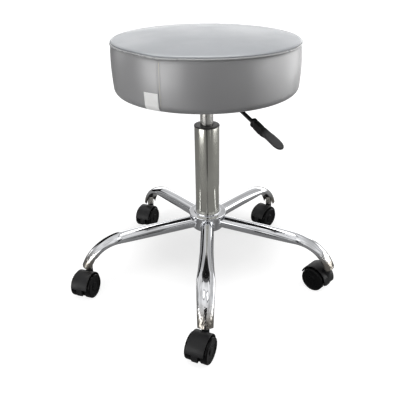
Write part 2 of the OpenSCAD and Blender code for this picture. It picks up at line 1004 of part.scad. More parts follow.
module welt() {
    color(VINYL_TOP)
        ring_solid([
            for (k = [0 : 5])
                [seat_r - welt_r + welt_r * sin(60 * k), welt_z + welt_r * (cos(60 * k) - 1) + welt_lift]
        ]);
}

// The band hangs from under the welt, turns round the lower edge and ends under the board
module side_band() {
    outer = concat(lowered(side_profile(0), 2 * welt_r), [[wrap_r, seat_low]]);
    inner_side = lowered(side_profile(vinyl_t), 2 * welt_r);
    inner = [for (k = [len(inner_side) - 1 : -1 : 0]) inner_side[k]];
    color(VINYL)
        ring_solid(concat(outer, [[wrap_r, seat_low + vinyl_t]], inner));
}

module dust_cover() {
    color(BLACK)
        difference() {
            translate([0, 0, plate_top + seated])
                cylinder(r = dust_r, h = dust_t, $fn = 96);
            at_screws()
                translate([0, 0, plate_top - over])
                    cylinder(r = screw_r + pass, h = dust_t + 2 * over, $fn = 32);
            translate([0, 0, plate_top - over])
                cylinder(r = pan_w / 2 - plate_t, h = dust_t + 2 * over);
        }
}

// Wire staples round the dust cover's edge, their legs in the board
module staples() {
    color(STEEL)
        for (k = [0 : staple_count - 1])
            rotate([0, 0, (k + 0.5) * 360 / staple_count])
                translate([dust_r - staple_in - staple_d / 2, -staple_w / 2, plate_top + seated - staple_h])
                    cube([staple_d, staple_w, staple_h]);
}

// A small bare cloth tag that lies on the side's lower edge
module blank_tag() {
    rise = [for (k = [0 : tag_steps]) tag_low + (tag_h - tag_low) * (1 - k / tag_steps)];
    function out_at(z, inset) = seat_r + side_swell * sin(180 * (welt_z - z) / (seat_h - edge_r)) - inset;
    function low_at(a, inset) = [seat_r - edge_r + (edge_r - inset) * cos(a), seat_low + edge_r - (edge_r - inset) * sin(a)];
    function path(inset) = concat(
        [for (z = rise) [out_at(seat_low + z, inset), seat_low + z]],
        [for (k = [1 : edge_steps]) low_at(tag_under * k / edge_steps, inset)]
    );
    face = path(-foam_gap);
    back = path(-foam_gap - tag_t);
    half = tag_w / 2 / seat_r * 180 / PI;
    color("white")
        rotate([0, 0, tag_az - half])
            rotate_extrude(angle = 2 * half)
                polygon(concat(face, [for (k = [len(back) - 1 : -1 : 0]) back[k]]));
}

// Casters

module hood_outline(r) {
    difference() {
        circle(r = r, $fn = 96);
        circle(r = hood_r - hood_wall, $fn = 96);
        polygon([
            [0, 0],
            for (k = [0 : 6])
                let (a = hood_far_angle + k * (360 + hood_low_angle - hood_far_angle) / 6)
                2 * hood_r * [cos(a), sin(a)]
        ]);
    }
}

// In the caster's frame: cover over both wheels, a middle web, and the swivel boss
module hood(i) {
    color(DARK)
        at_axle(i)
            difference() {
                union() {
                    translate([0, hood_w / 2, 0])
                        rotate([90, 0, 0])
                            linear_extrude(hood_w)
                                hood_outline(hood_r);
                    translate([0, web_t / 2, 0])
                        rotate([90, 0, 0])
                            linear_extrude(web_t)
                                difference() {
                                    circle(r = hood_r - hood_wall / 2, $fn = 96);
                                    translate([-hood_r, -hood_r - web_low])
                                        square([2 * hood_r, hood_r]);
                                }
                    difference() {
                        translate([-caster_offset, 0, boss_low - wheel_r])
                            cylinder(r = boss_r, h = boss_top - boss_low);
                        translate([0, hood_w / 2, 0])
                            rotate([90, 0, 0])
                                cylinder(r = hood_r - hood_wall, h = hood_w, $fn = 96);
                    }
                }
                translate([-caster_offset, 0, boss_low - wheel_r])
                    cylinder(r = pivot_r + running, h = hood_r + wheel_r);
                translate([0, hood_w / 2, 0])
                    rotate([90, 0, 0])
                        cylinder(r = axle_r + running, h = hood_w);
            }
}

module axle(i) {
    color(STEEL)
        at_axle(i)
            translate([0, wheel_space / 2 + axle_end, 0])
                rotate([90, 0, 0])
                    cylinder(r = axle_r, h = wheel_space + 2 * axle_end);
}

// Wheel profile as [radius, place along the axle from the wheel's inner rim]
wheel_profile = [
    [axle_r + running, -wheel_hub_out],
    [wheel_hub_r, -wheel_hub_out],
    [wheel_hub_r, wheel_w - dish_d - wheel_web_t],
    [wheel_r - rim_t, wheel_w - dish_d - wheel_web_t],
    [wheel_r - rim_t, 0],
    for (a = [0 : 30 : 90])
        [wheel_r - tread_round * (1 - sin(a)), tread_round * (1 - cos(a))],
    for (a = [0 : 30 : 90])
        [wheel_r - tread_round * (1 - cos(a)), wheel_w - tread_round * (1 - sin(a))],
    [wheel_r - rim_lip, wheel_w],
    [wheel_r - rim_lip - dish_d, wheel_w - dish_d],
    [cap_r + dish_d, wheel_w - dish_d],
    [cap_r, wheel_w - cap_d],
    [0, wheel_w - cap_d],
    [0, axle_end + seated],
    [axle_r + running, axle_end + seated]
];

module wheel(i, side) {
    color(BLACK)
        at_axle(i)
            rotate([0, 0, side == "near" ? 180 : 0])
                translate([0, wheel_space / 2, 0])
                    rotate([-90, 0, 0])
                        rotate_extrude($fn = 96)
                            polygon(wheel_profile);
}

hub();
for (i = [0 : len(PLACES) - 1])
    leg(i);
stem_sleeves();
caster_stems();
grip_rings();
column_tube();
guide_bush();
lower_race();
ball_cage();
bearing_balls();
upper_race();
bump_stop();
piston_rod();
piston();
rod_clip();
pressure_tube();
rod_guide();
valve_block();
release_pin();
seat_plate();
plate_screws();
screw_washers();
tee_nuts();
lever_bracket();
lever_hinge_pin();
lever_rod();
lever_grip();
seat_board();
seat_foam();
top_panel();
side_band();
welt();
dust_cover();
staples();
blank_tag();
for (i = [0 : len(PLACES) - 1])
    hood(i);
for (i = [0 : len(PLACES) - 1])
    axle(i);
for (i = [0 : len(PLACES) - 1], s = SIDES)
    wheel(i, s);
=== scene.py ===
"""A rolling stool: its looks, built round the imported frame.

Lengths are metres and angles are degrees unless a name says otherwise. The origin is on the floor under the
middle of the column, and the front leg points along -Y.
"""

import json
import math

import bmesh
import bpy
from mathutils import Matrix, Vector
from mathutils.bvhtree import BVHTree


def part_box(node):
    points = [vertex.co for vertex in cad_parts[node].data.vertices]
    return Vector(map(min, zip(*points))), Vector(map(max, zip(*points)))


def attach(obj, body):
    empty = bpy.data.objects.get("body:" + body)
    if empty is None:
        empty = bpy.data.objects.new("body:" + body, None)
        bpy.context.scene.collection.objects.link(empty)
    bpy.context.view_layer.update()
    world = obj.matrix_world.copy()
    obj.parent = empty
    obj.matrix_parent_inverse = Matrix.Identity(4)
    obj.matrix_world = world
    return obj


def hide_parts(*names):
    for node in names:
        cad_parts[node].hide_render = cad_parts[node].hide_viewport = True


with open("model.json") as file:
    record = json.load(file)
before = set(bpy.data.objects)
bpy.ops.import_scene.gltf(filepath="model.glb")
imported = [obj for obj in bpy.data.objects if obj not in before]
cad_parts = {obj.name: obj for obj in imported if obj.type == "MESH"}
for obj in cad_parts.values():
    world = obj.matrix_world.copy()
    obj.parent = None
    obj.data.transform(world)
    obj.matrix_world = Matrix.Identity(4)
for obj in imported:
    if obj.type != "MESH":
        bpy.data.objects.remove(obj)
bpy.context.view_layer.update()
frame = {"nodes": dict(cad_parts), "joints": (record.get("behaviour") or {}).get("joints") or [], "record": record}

MM = 0.001
Z_AXIS = Vector((0, 0, 1))
WHITE = (1, 1, 1, 1)


# Sizes

PLACES = ["front", "right", "back_right", "back_left", "left"]
SIDES = {"near": -1, "far": 1}
FIRST_LEG = -91.3
LEG_STEP = 360 / len(PLACES)
CASTER_TURNS = [-114, 135, -133, -112, -107]

# Casters
WHEEL_R = 25 * MM
WHEEL_W = 14.6 * MM
WHEEL_SPACE = 15 * MM
CASTER_OFFSET = 21.5 * MM
HOOD_W = 34 * MM
HOOD_WALL = 1.8 * MM
HOOD_SPACE = 2.9 * MM
HOOD_R = WHEEL_R + HOOD_SPACE + HOOD_WALL
HOOD_ANGLES = (12, 187)
HOOD_ROUND = 0.7 * MM
WEB_T = 12 * MM
WEB_LOW = 10 * MM
WEB_FOOT_R = 23 * MM
BOSS_R = 7.2 * MM
BOSS_TOP = WHEEL_R + HOOD_R - 1.8 * MM
BOSS_LOW = WHEEL_R + 5 * MM

# Leg line, in the leg's own plane
STEM_CIRCLE_R = 263 * MM
SLEEVE_LOW = BOSS_TOP + 1.9 * MM
TUBE_D = 27 * MM
BEND_W = 34.5 * MM
BEND_T = 17.5 * MM
TUBE_WALL = 1.5 * MM
BEND_R = 88 * MM
LEG_SLOPE = math.radians(4.3)
LEG_TURN = math.radians(62.5)
TIP_OUT = 1.1 * MM
TIP_RISE = 7.2 * MM
TIP_REACH = 5 * MM
OPEN_IN = 15 * MM
OPEN_OUT = 1 * MM
OPEN_H = 26 * MM
TIP_SPAN, TIP_ABOVE = 70 * MM, 4 * MM
SLIT_TOP_W = 1 * MM
SLIT_LOW_W = 4.5 * MM
SLIT_H = 33 * MM
ARC_START_R = STEM_CIRCLE_R + TIP_OUT - BEND_R * (math.sin(LEG_SLOPE + LEG_TURN) - math.sin(LEG_SLOPE))
ARC_START_Z = SLEEVE_LOW + TIP_RISE + BEND_R * (math.cos(LEG_SLOPE) - math.cos(LEG_SLOPE + LEG_TURN))

# Hub and lift
HUB_R = 33.4 * MM
FLANGE_R = 39.7 * MM
FLANGE_T = 5 * MM
FLANGE_ROUND = 1.5 * MM
LIP_R = 28.5 * MM
LIP_H = 3 * MM
COLUMN_R = 25 * MM
COLUMN_WALL = 1.6 * MM
COLUMN_TAPER = 0.8 * MM
LIFT_R = 13 * MM
LIFT_WALL = 1.8 * MM
COLLAR_OVER = 0.6 * MM
COLLAR_H = 2.6 * MM
BUSH_H = 56 * MM
SEATED = 0.1 * MM
RUNNING = 0.05 * MM

hub_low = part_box("hub")[0].z
hub_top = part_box("hub")[1].z
flange_top = hub_top - LIP_H
flange_low = flange_top - FLANGE_T
column_low, column_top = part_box("column_tube")[0].z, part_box("column_tube")[1].z
lift_low, lift_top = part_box("pressure_tube")[0].z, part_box("pressure_tube")[1].z

# Seat
SEAT_R = 174 * MM
SEAT_H = 90.9 * MM
CROWN_H = 10.9 * MM
CROWN_FALL = 7.7 * MM
CROWN_POWER = 2.6
ROLL_W = 8 * MM
ROLL_DROP = 2.7 * MM
ROLL_TUCK = [(0.4, 0.6), (1.3, 1.3)]
SEAT_TILT = 0.0105
SIDE_SWELL = 1.5 * MM
EDGE_R = 13 * MM
VINYL_T = 1.2 * MM
WELT_R = 1.5 * MM
WELT_LIFT = -0.1 * MM
JOIN_PULL = 1.6 * MM
JOIN_AZ, JOIN_SPREAD = -115.6, 11
PUFF_AZ, PUFF_SPREAD, PUFF_SHARE = -136, 13, -0.5
UNDER_R = 141 * MM
WELT_RING_R = SEAT_R - WELT_R + 1.3 * MM
TOP_R = SEAT_R - 1.0 * MM
SIDE_TUCK = 2.2 * MM
CREASE_W = 3.6 * MM
JOIN_DEEP = 1.1 * MM
JOIN_W = 1.1 * MM
PUFF_CAP = 4 * MM
SWELL_SHARE = 0.6
SWELL_LOW, SWELL_HIGH = -0.7 * MM, 1.8 * MM
COVER_SIDES = 480
TOP_ROWS = 44
SIDE_ROWS = 34
FOLD_ROWS = 8
UNDER_ROWS = 6
seat_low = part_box("side_band")[0].z
welt_z = seat_low + SEAT_H

# Tag
TAG_W = 28 * MM
TAG_H = 33 * MM
TAG_AZ = -121

# Lever
LEVER_TURN = math.radians(-58)
LEVER_R = 2.6 * MM
LEVER_OUT_R = 3.5 * MM
LEVER_IN = 6 * MM
LEVER_BEND_X = 92 * MM
LEVER_BEND_R = 26 * MM
LEVER_TIP_X = 228 * MM
LEVER_FALL = math.radians(17)
GRIP_L = 83 * MM
GRIP_W = 20 * MM
GRIP_T = 16 * MM
GRIP_BORE = 34 * MM
lever_joint = [j for j in frame["joints"] if j["name"] == "lever_lift"][0]
lever_z = lever_joint["pos_m"][2]


# Making meshes

def clamp(value):
    return min(1.0, max(0.0, value))


def add_object(name, data):
    data.name = name
    obj = bpy.data.objects.new(name, data)
    bpy.context.scene.collection.objects.link(obj)
    return obj


def shade(obj, angle):
    """Smooth shading, with edges sharper than the angle kept sharp."""
    for face in obj.data.polygons:
        face.use_smooth = True
    obj.data.set_sharp_from_angle(angle=math.radians(angle))
    return obj


def mesh_object(name, verts, faces, angle=40):
    mesh = bpy.data.meshes.new(name)
    mesh.from_pydata([tuple(v) for v in verts], [], faces)
    mesh.validate()
    bm = bmesh.new()
    bm.from_mesh(mesh)
    bmesh.ops.recalc_face_normals(bm, faces=bm.faces)
    bm.to_mesh(mesh)
    bm.free()
    return shade(add_object(name, mesh), angle)


def settled(*objects):
    """The first object's mesh with its modifiers applied. Then the modifiers and the objects are removed."""
    graph = bpy.context.evaluated_depsgraph_get()
    mesh = bpy.data.meshes.new_from_object(objects[0].evaluated_get(graph))
    for obj in objects:
        obj.modifiers.clear()
        bpy.data.objects.remove(obj)
    return mesh


def walled(obj, thickness, offset=-1):
    """Gives a sheet its thickness, inward unless the offset says otherwise."""
    wall = obj.modifiers.new("wall", "SOLIDIFY")
    wall.thickness = thickness
    wall.offset = offset
    return obj


def add_mask(mesh, name, share):
    """A mask on the mesh's points, from a function of each point's number and place."""
    mask = mesh.attributes.new(name, "FLOAT", "POINT")
    for k, vertex in enumerate(mesh.vertices):
        mask.data[k].value = clamp(share(k, vertex.co))


def dress(obj, slot):
    obj.data.materials.clear()
    obj.data.materials.append(MATERIALS[slot])


def finish_piece(obj, body, slot, *nodes):
    """Gives a piece its finish and its body, and hides the CAD nodes whose place it takes."""
    dress(obj, slot)
    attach(obj, body)
    if nodes:
        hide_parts(*nodes)


def place_copy(master, name, at, angle, body, slot, node):
    """One more piece from a master mesh, moved into its place."""
    piece = add_object(name, master.copy())
    piece.data.transform(at)
    finish_piece(shade(piece, angle), body, slot, node)


def rounded(corners, steps=4):
    """A closed outline of (x, y, radius) corners, each turned into an arc."""
    out = []
    n = len(corners)
    for k in range(n):
        here = Vector(corners[k][:2])
        radius = corners[k][2]
        if radius == 0:
            out.append(tuple(here))
            continue
        back = (Vector(corners[k - 1][:2]) - here).normalized()
        ahead = (Vector(corners[(k + 1) % n][:2]) - here).normalized()
        half = back.angle(ahead) / 2
        reach = radius / math.tan(half)
        middle = here + (back + ahead).normalized() * (radius / math.sin(half))
        first = here + back * reach - middle
        last = here + ahead * reach - middle
        turn = first.angle_signed(last)
        for s in range(steps + 1):
            a = -turn * s / steps
            out.append((middle.x + first.x * math.cos(a) - first.y * math.sin(a),
                        middle.y + first.x * math.sin(a) + first.y * math.cos(a)))
    return out


def skin(rings, n, first=0, around=True):
    """Faces between rings of n points each, whose points run on from the first."""
    faces = []
    for k in range(rings - 1):
        a = first + k * n
        for i in range(n if around else n - 1):
            j = (i + 1) % n
            faces.append((a + i, a + j, a + n + j, a + n + i))
    return faces


def tube_object(name, rings, angle):
    """A closed piece from rings of points, with a face over each end."""
    n = len(rings[0])
    verts = [v for ring in rings for v in ring]
    faces = skin(len(rings), n) + [tuple(range(n)), tuple(range(len(verts) - n, len(verts)))]
    return mesh_object(name, verts, faces, angle)


def lathe(name, outline, sides=96, angle=40):
    """Turns a closed outline of (radius, height) about Z. Points on the axis become poles."""
    verts, rings = [], []
    for r, z in outline:
        n = sides if r else 1
        rings.append([len(verts) + i for i in range(n)])
        turns = [math.tau * i / sides for i in range(n)]
        verts += [(r * math.cos(a), r * math.sin(a), z) for a in turns]
    faces = []
    for a, b in zip(rings, rings[1:] + rings[:1]):
        for i in range(sides):
            j = (i + 1) % sides
            corners = dict.fromkeys((a[i % len(a)], a[j % len(a)], b[j % len(b)], b[i % len(b)]))
            if len(corners) > 2:
                faces.append(tuple(corners))
    return mesh_object(name, verts, faces, angle)


def curve_table(xs, ys, x):
    """A smooth curve through a table, with no overshoot."""
    if x <= xs[0]:
        return ys[0]
    if x >= xs[-1]:
        return ys[-1]
    k = max(i for i in range(len(xs) - 1) if xs[i] <= x)

    def slope(i):
        if i == 0 or i == len(xs) - 1:
            return 0
        a = (ys[i] - ys[i - 1]) / (xs[i] - xs[i - 1])
        b = (ys[i + 1] - ys[i]) / (xs[i + 1] - xs[i])
        return 0 if a * b <= 0 else 2 * a * b / (a + b)

    h = xs[k + 1] - xs[k]
    t = (x - xs[k]) / h
    return ((1 + 2 * t) * (1 - t) ** 2 * ys[k] + t * (1 - t) ** 2 * h * slope(k)
            + t * t * (3 - 2 * t) * ys[k + 1] + t * t * (t - 1) * h * slope(k + 1))


def leg_matrix(i):
    return Matrix.Rotation(math.radians(FIRST_LEG + LEG_STEP * i), 4, "Z")


def caster_matrix(i):
    """The caster's own frame: its stem axis at the origin on the floor, its axle out along +X."""
    foot = leg_matrix(i) @ Vector((STEM_CIRCLE_R, 0, 0))
    return Matrix.Translation(foot) @ Matrix.Rotation(math.radians(CASTER_TURNS[i]), 4, "Z")


# Node trees

class Sheet:
    """A node tree, with short ways to add nodes. What feeds an input is a socket or a constant."""

    def __init__(self, tree):
        self.tree = tree

    def feed(self, target, value):
        if isinstance(value, bpy.types.NodeSocket):
            self.tree.links.new(value, target)
        else:
            target.default_value = value

    def add(self, kind, *feeds, **values):
        """A node, with settings and inputs by name, and inputs in their own order."""
        node = self.tree.nodes.new(kind)
        for key, value in values.items():
            if hasattr(node, key):
                setattr(node, key, value)
            else:
                self.feed(node.inputs[key.replace("_", " ")], value)
        for target, value in zip(node.inputs, feeds):
            self.feed(target, value)
        return node

    def math(self, operation, *feeds):
        return self.add("ShaderNodeMath", *feeds, operation=operation).outputs[0]

    def mask(self, name):
        """A mask of the mesh, as made by add_mask."""
        return self.add("ShaderNodeAttribute", attribute_name=name).outputs["Fac"]

    def noise(self, place, **values):
        return self.add("ShaderNodeTexNoise", Vector=place, **values).outputs["Fac"]

    def ranged(self, value, limits, smooth=True):
        """A value moved from one range to another, with soft ends or straight."""
        ends = "SMOOTHSTEP" if smooth else "LINEAR"
        node = self.add("ShaderNodeMapRange", interpolation_type=ends, Value=value)
        for label, limit in zip(("From Min", "From Max", "To Min", "To Max"), limits):
            self.feed(node.inputs[label], limit)
        return node.outputs["Result"]

    def mix(self, kind, factor, a, b):
        return self.add("ShaderNodeMix", data_type=kind, Factor=factor, A=a, B=b).outputs["Result"]


def new_tree(kind, name, inputs, outputs):
    """A node group, from the kind of each of its sockets."""
    tree = bpy.data.node_groups.new(name, kind)
    for way, sockets in (("INPUT", inputs), ("OUTPUT", outputs)):
        for label, socket in sockets.items():
            tree.interface.new_socket(name=label, in_out=way, socket_type="NodeSocket" + socket)
    sheet = Sheet(tree)
    sheet.source = tree.nodes.new("NodeGroupInput").outputs
    sheet.target = tree.nodes.new("NodeGroupOutput").inputs
    return sheet


def grain_group():
    """Pressed leather grain: rounded cells with fine creases between them."""
    g = new_tree("ShaderNodeTree", "Pressed grain", {"Place": "Vector", "Size": "Float", "Crease": "Float"},
                 {"Height": "Float"})
    place = g.source["Place"]
    warp = g.add("ShaderNodeTexNoise", Vector=place, Scale=60.0, Detail=2.0)
    shift = g.add("ShaderNodeVectorMath", warp.outputs["Color"], operation="SCALE", Scale=0.004)
    moved = g.add("ShaderNodeVectorMath", place, shift.outputs["Vector"], operation="ADD")
    cells = g.add("ShaderNodeTexVoronoi", feature="DISTANCE_TO_EDGE", Vector=moved.outputs["Vector"],
                  Scale=g.source["Size"])
    soft = g.ranged(cells.outputs["Distance"], (0.0, 0.35, 0.0, 1.0))
    fine = g.noise(place, Scale=2600.0, Detail=3.0)
    g.feed(g.target["Height"], g.mix("FLOAT", g.source["Crease"], fine, soft))
    return g.tree


def handling_group():
    """Uneven gloss from handling and wiping, as a value between a low and a high roughness."""
    g = new_tree("ShaderNodeTree", "Handling marks",
                 {"Place": "Vector", "Size": "Float", "Low": "Float", "High": "Float"},
                 {"Roughness": "Float"})
    broad = g.noise(g.source["Place"], Scale=g.source["Size"], Detail=5.0, Roughness=0.6)
    marks = g.ranged(broad, (0.35, 0.65, 0.0, 1.0))
    g.feed(g.target["Roughness"], g.ranged(marks, (0.0, 1.0, g.source["Low"], g.source["High"]), False))
    return g.tree


def tint_group():
    """Two tones mixed by a mask, for colour that drifts over a surface."""
    g = new_tree("ShaderNodeTree", "Tone drift",
                 {"Place": "Vector", "Size": "Float", "Tone": "Color", "Other tone": "Color"},
                 {"Color": "Color"})
    drift = g.noise(g.source["Place"], Scale=g.source["Size"], Detail=4.0, Roughness=0.55)
    mask = g.ranged(drift, (0.3, 0.7, 0.0, 1.0))
    g.feed(g.target["Color"], g.mix("RGBA", mask, g.source["Tone"], g.source["Other tone"]))
    return g.tree


def inner_group():
    """Mixes a plated face with the bare steel inside a tube, by the mesh's own mask."""
    g = new_tree("ShaderNodeTree", "Bare inside",
                 {"Place": "Vector", "Plated": "Color", "Gloss": "Float", "Bare": "Color", "Dull": "Float"},
                 {"Color": "Color", "Roughness": "Float"})
    mask = g.mask("inside")
    rust = g.ranged(g.noise(g.source["Place"], Scale=160.0, Detail=4.0), (0.35, 0.65, 0.55, 1.5), False)
    tone = g.add("ShaderNodeVectorMath", g.source["Bare"], operation="SCALE", Scale=rust)
    g.feed(g.target["Color"], g.mix("RGBA", mask, g.source["Plated"], tone.outputs["Vector"]))
    g.feed(g.target["Roughness"], g.mix("FLOAT", mask, g.source["Gloss"], g.source["Dull"]))
    return g.tree


GRAIN = grain_group()
HANDLING = handling_group()
TINT = tint_group()
INNER = inner_group()


# Materials

def new_material(name, **values):
    """A Principled material whose constant values sit on its own sockets."""
    mat = bpy.data.materials.new(name)
    mat.use_nodes = True
    sheet = Sheet(mat.node_tree)
    sheet.material = mat
    sheet.surface = mat.node_tree.nodes["Principled BSDF"].inputs
    for key, value in values.items():
        sheet.surface[key.replace("_", " ")].default_value = value
    sheet.place = sheet.add("ShaderNodeTexCoord").outputs["Object"]
    return sheet


def use_group(m, tree, **values):
    return m.add("ShaderNodeGroup", node_tree=tree, Place=m.place, **values).outputs


def tinted(m, tone, other, size):
    return use_group(m, TINT, Size=size, Tone=(*tone, 1), Other_tone=(*other, 1))["Color"]


def handled(m, low, high, size):
    return use_group(m, HANDLING, Size=size, Low=low, High=high)["Roughness"]


def grained(m, size, crease):
    return use_group(m, GRAIN, Size=size, Crease=crease)["Height"]


def stretched(m, scale):
    """Object coordinates stretched by a scale for each axis."""
    return m.add("ShaderNodeMapping", Vector=m.place, Scale=scale).outputs["Vector"]


def surfaced(m, color, rough, height, distance, strength):
    """Joins colour, roughness and relief to the surface. A roughness of None leaves its constant."""
    m.feed(m.surface["Base Color"], color)
    if rough is not None:
        m.feed(m.surface["Roughness"], rough)
    relief = m.add("ShaderNodeBump", Strength=strength, Distance=distance, Height=height)
    m.feed(m.surface["Normal"], relief.outputs["Normal"])
    return m.material


def vinyl_material(name, tone, other, grain_size, rough):
    m = new_material(name, Specular_IOR_Level=0.95, Sheen_Weight=0.05, Sheen_Roughness=0.4)
    return surfaced(m, tinted(m, tone, other, 5.0), handled(m, *rough, 9.0), grained(m, grain_size, 0.7),
                    0.00012, 0.35)


# The pressed tip of a leg: its tone, a painted reflection of the casters and floor that darkens and browns the
# chrome there, its dulling, how close and deep its pleats are, and where they fade
TIP_PAINTED_REFLECTION_TONE = (0.3, 0.28, 0.25)
TIP_DULL = 0.16
PLEAT_SCALE = (230.0, 230.0, 14.0)
PLEAT_DEEP = 110.0
PLEAT_TOP = 44 * MM
PLEAT_FADE = 26 * MM
BARE_TONE = (0.1, 0.095, 0.085)
BARE_ROUGH = 0.6


def chrome_material(name):
    m = new_material(name, Metallic=1.0)
    tip = m.mask("tip")
    plated = tinted(m, (0.69, 0.7, 0.72), (0.64, 0.645, 0.66), 14.0)
    # Toward the tip the plating takes a darker beige tone: a painted reflection of the casters and floor
    inner = use_group(m, INNER, Plated=m.mix("RGBA", tip, plated, (*TIP_PAINTED_REFLECTION_TONE, 1)),
                      Gloss=m.math("MULTIPLY_ADD", tip, TIP_DULL, handled(m, 0.03, 0.065, 30.0)),
                      Bare=(*BARE_TONE, 1), Dull=BARE_ROUGH)
    pleats = m.math("MULTIPLY", m.noise(stretched(m, PLEAT_SCALE), Scale=1.0, Detail=1.0), tip)
    ripple = m.noise(m.place, Scale=55.0, Detail=1.0)
    return surfaced(m, inner["Color"], inner["Roughness"], m.math("MULTIPLY_ADD", pleats, PLEAT_DEEP, ripple),
                    0.00006, 0.25)


def brushed_material(name, tone, other, rough, along=(160.0, 160.0, 3.0)):
    """Metal with fine lines; along stretches the lines over the object's axes."""
    m = new_material(name, Metallic=1.0)
    lines = m.noise(stretched(m, along), Scale=6.0, Detail=4.0, Roughness=0.7)
    return surfaced(m, tinted(m, tone, other, 18.0), handled(m, *rough, 22.0), lines, 0.000003, 0.4)


def plastic_material(name, tone, other, rough, grain=900.0, depth=0.00008, specular=0.5):
    m = new_material(name, Specular_IOR_Level=specular)
    return surfaced(m, tinted(m, tone, other, 25.0), handled(m, *rough, 35.0), grained(m, grain, 0.35),
                    depth, 0.4)


def grip_material(name):
    """Moulded grip: smooth black at its root, with a paler roughened pad on the paddle, whose paler tone is
    painted light for the lit flat top of the paddle.
    """
    m = new_material(name, Specular_IOR_Level=0.2)
    # The paler paddle tone is a painted highlight for the paddle's lit top face
    painted_paddle_light = m.mask("painted_paddle_light")
    tone = m.mix("RGBA", painted_paddle_light, (0.003, 0.003, 0.0031, 1), (0.034, 0.034, 0.035, 1))
    return surfaced(m, tone, handled(m, 0.34, 0.48, 35.0), grained(m, 1400.0, 0.35), 0.00016, 0.5)


def cloth_material(name, tone, other, thread):
    m = new_material(name, Roughness=0.85, Sheen_Weight=0.15)
    warp = m.add("ShaderNodeTexWave", wave_type="BANDS", bands_direction="DIAGONAL", Vector=m.place,
                 Scale=thread / 3, Distortion=0.6)
    return surfaced(m, tinted(m, tone, other, 60.0), None, warp.outputs["Fac"], 0.00015, 0.5)


def wood_material(name):
    m = new_material(name, Roughness=0.7)
    grain = m.noise(stretched(m, (6.0, 90.0, 90.0)), Scale=3.0, Detail=6.0, Roughness=0.65)
    return surfaced(m, tinted(m, (0.58, 0.42, 0.25), (0.47, 0.33, 0.19), 12.0), None, grain, 0.0002, 0.5)


def foam_material(name):
    m = new_material(name, Roughness=0.95)
    pores = m.add("ShaderNodeTexVoronoi", Vector=m.place, Scale=900.0).outputs["Distance"]
    return surfaced(m, tinted(m, (0.78, 0.71, 0.48), (0.7, 0.62, 0.4), 30.0), None, pores, 0.0005, 0.8)


MATERIALS = {
    "chrome": chrome_material("Polished chrome"),
    "rod_chrome": chrome_material("Hard chrome rod"),
    "sleeve_nickel": brushed_material("Dull nickel sleeve",
                                      (0.66, 0.64, 0.6), (0.56, 0.54, 0.5), (0.3, 0.42)),
    "column_nickel": brushed_material("Satin nickel column",
                                      (0.6, 0.595, 0.545), (0.55, 0.545, 0.495), (0.12, 0.17)),
    "tube_nickel": brushed_material("Brushed nickel tube",
                                    (0.64, 0.63, 0.6), (0.58, 0.57, 0.55), (0.16, 0.22)),
    "nut_zinc": brushed_material("Zinc plate", (0.55, 0.55, 0.53), (0.46, 0.47, 0.46), (0.3, 0.45)),
    "bright_steel": brushed_material("Turned steel", (0.52, 0.52, 0.53), (0.46, 0.46, 0.47), (0.22, 0.34),
                                     (30.0, 30.0, 900.0)),
    "bearing_steel": brushed_material("Ground steel", (0.62, 0.63, 0.64), (0.56, 0.57, 0.58), (0.12, 0.2)),
    "bush_black": plastic_material("Black bush plastic",
                                   (0.028, 0.027, 0.027), (0.055, 0.052, 0.05), (0.35, 0.5)),
    "bump_rubber": plastic_material("Black rubber", (0.02, 0.02, 0.02), (0.03, 0.03, 0.03), (0.6, 0.75)),
    "plate_black": plastic_material("Black powder coat",
                                    (0.022, 0.022, 0.024), (0.03, 0.03, 0.032), (0.45, 0.6),
                                    2200.0, 0.00015),
    "lever_black": plastic_material("Black rod paint",
                                    (0.012, 0.012, 0.013), (0.02, 0.02, 0.021), (0.3, 0.42)),
    "grip_black": grip_material("Moulded grip"),
    "hood_black": plastic_material("Matt hood plastic",
                                   (0.007, 0.007, 0.0075), (0.011, 0.011, 0.0115), (0.4, 0.52),
                                   1600.0, 0.0001, 0.24),
    "wheel_black": plastic_material("Wheel nylon",
                                    (0.003, 0.003, 0.0033), (0.005, 0.005, 0.0053), (0.16, 0.26), 1200.0,
                                    0.00004, 0.09),
    "plywood": wood_material("Birch plywood"),
    "foam": foam_material("Open-cell foam"),
    # One grey vinyl in lit and shaded copies: the top's darker, bluer tone and the side's paler neutral tone are
    # painted light and shade for how each faces the lamps, and the welt's lighter tone is a painted highlight
    # along the seat's edge
    "vinyl_top": vinyl_material("Grey vinyl, top copy with painted bluish light",
                                (0.243, 0.256, 0.275), (0.228, 0.24, 0.257), 620.0, (0.34, 0.44)),
    "vinyl_side": vinyl_material("Grey vinyl, side copy with painted light",
                                 (0.268, 0.267, 0.273), (0.251, 0.25, 0.255), 620.0, (0.3, 0.4)),
    "vinyl_welt": vinyl_material("Grey vinyl, welt copy with painted highlight",
                                 (0.36, 0.365, 0.37), (0.32, 0.325, 0.33), 900.0, (0.26, 0.36)),
    "cover_cloth": cloth_material("Black dust cloth", (0.018, 0.018, 0.018), (0.026, 0.026, 0.026), 2500.0),
    "tag_white": cloth_material("White woven tag", (0.93, 0.93, 0.92), (0.88, 0.88, 0.87), 4200.0),
}

# Every CAD node that stays in sight takes the finish of its own slot
for part in frame["record"]["subparts"]:
    dress(frame["nodes"][part["node"]], part["material_slot"])


# Pieces that follow a path

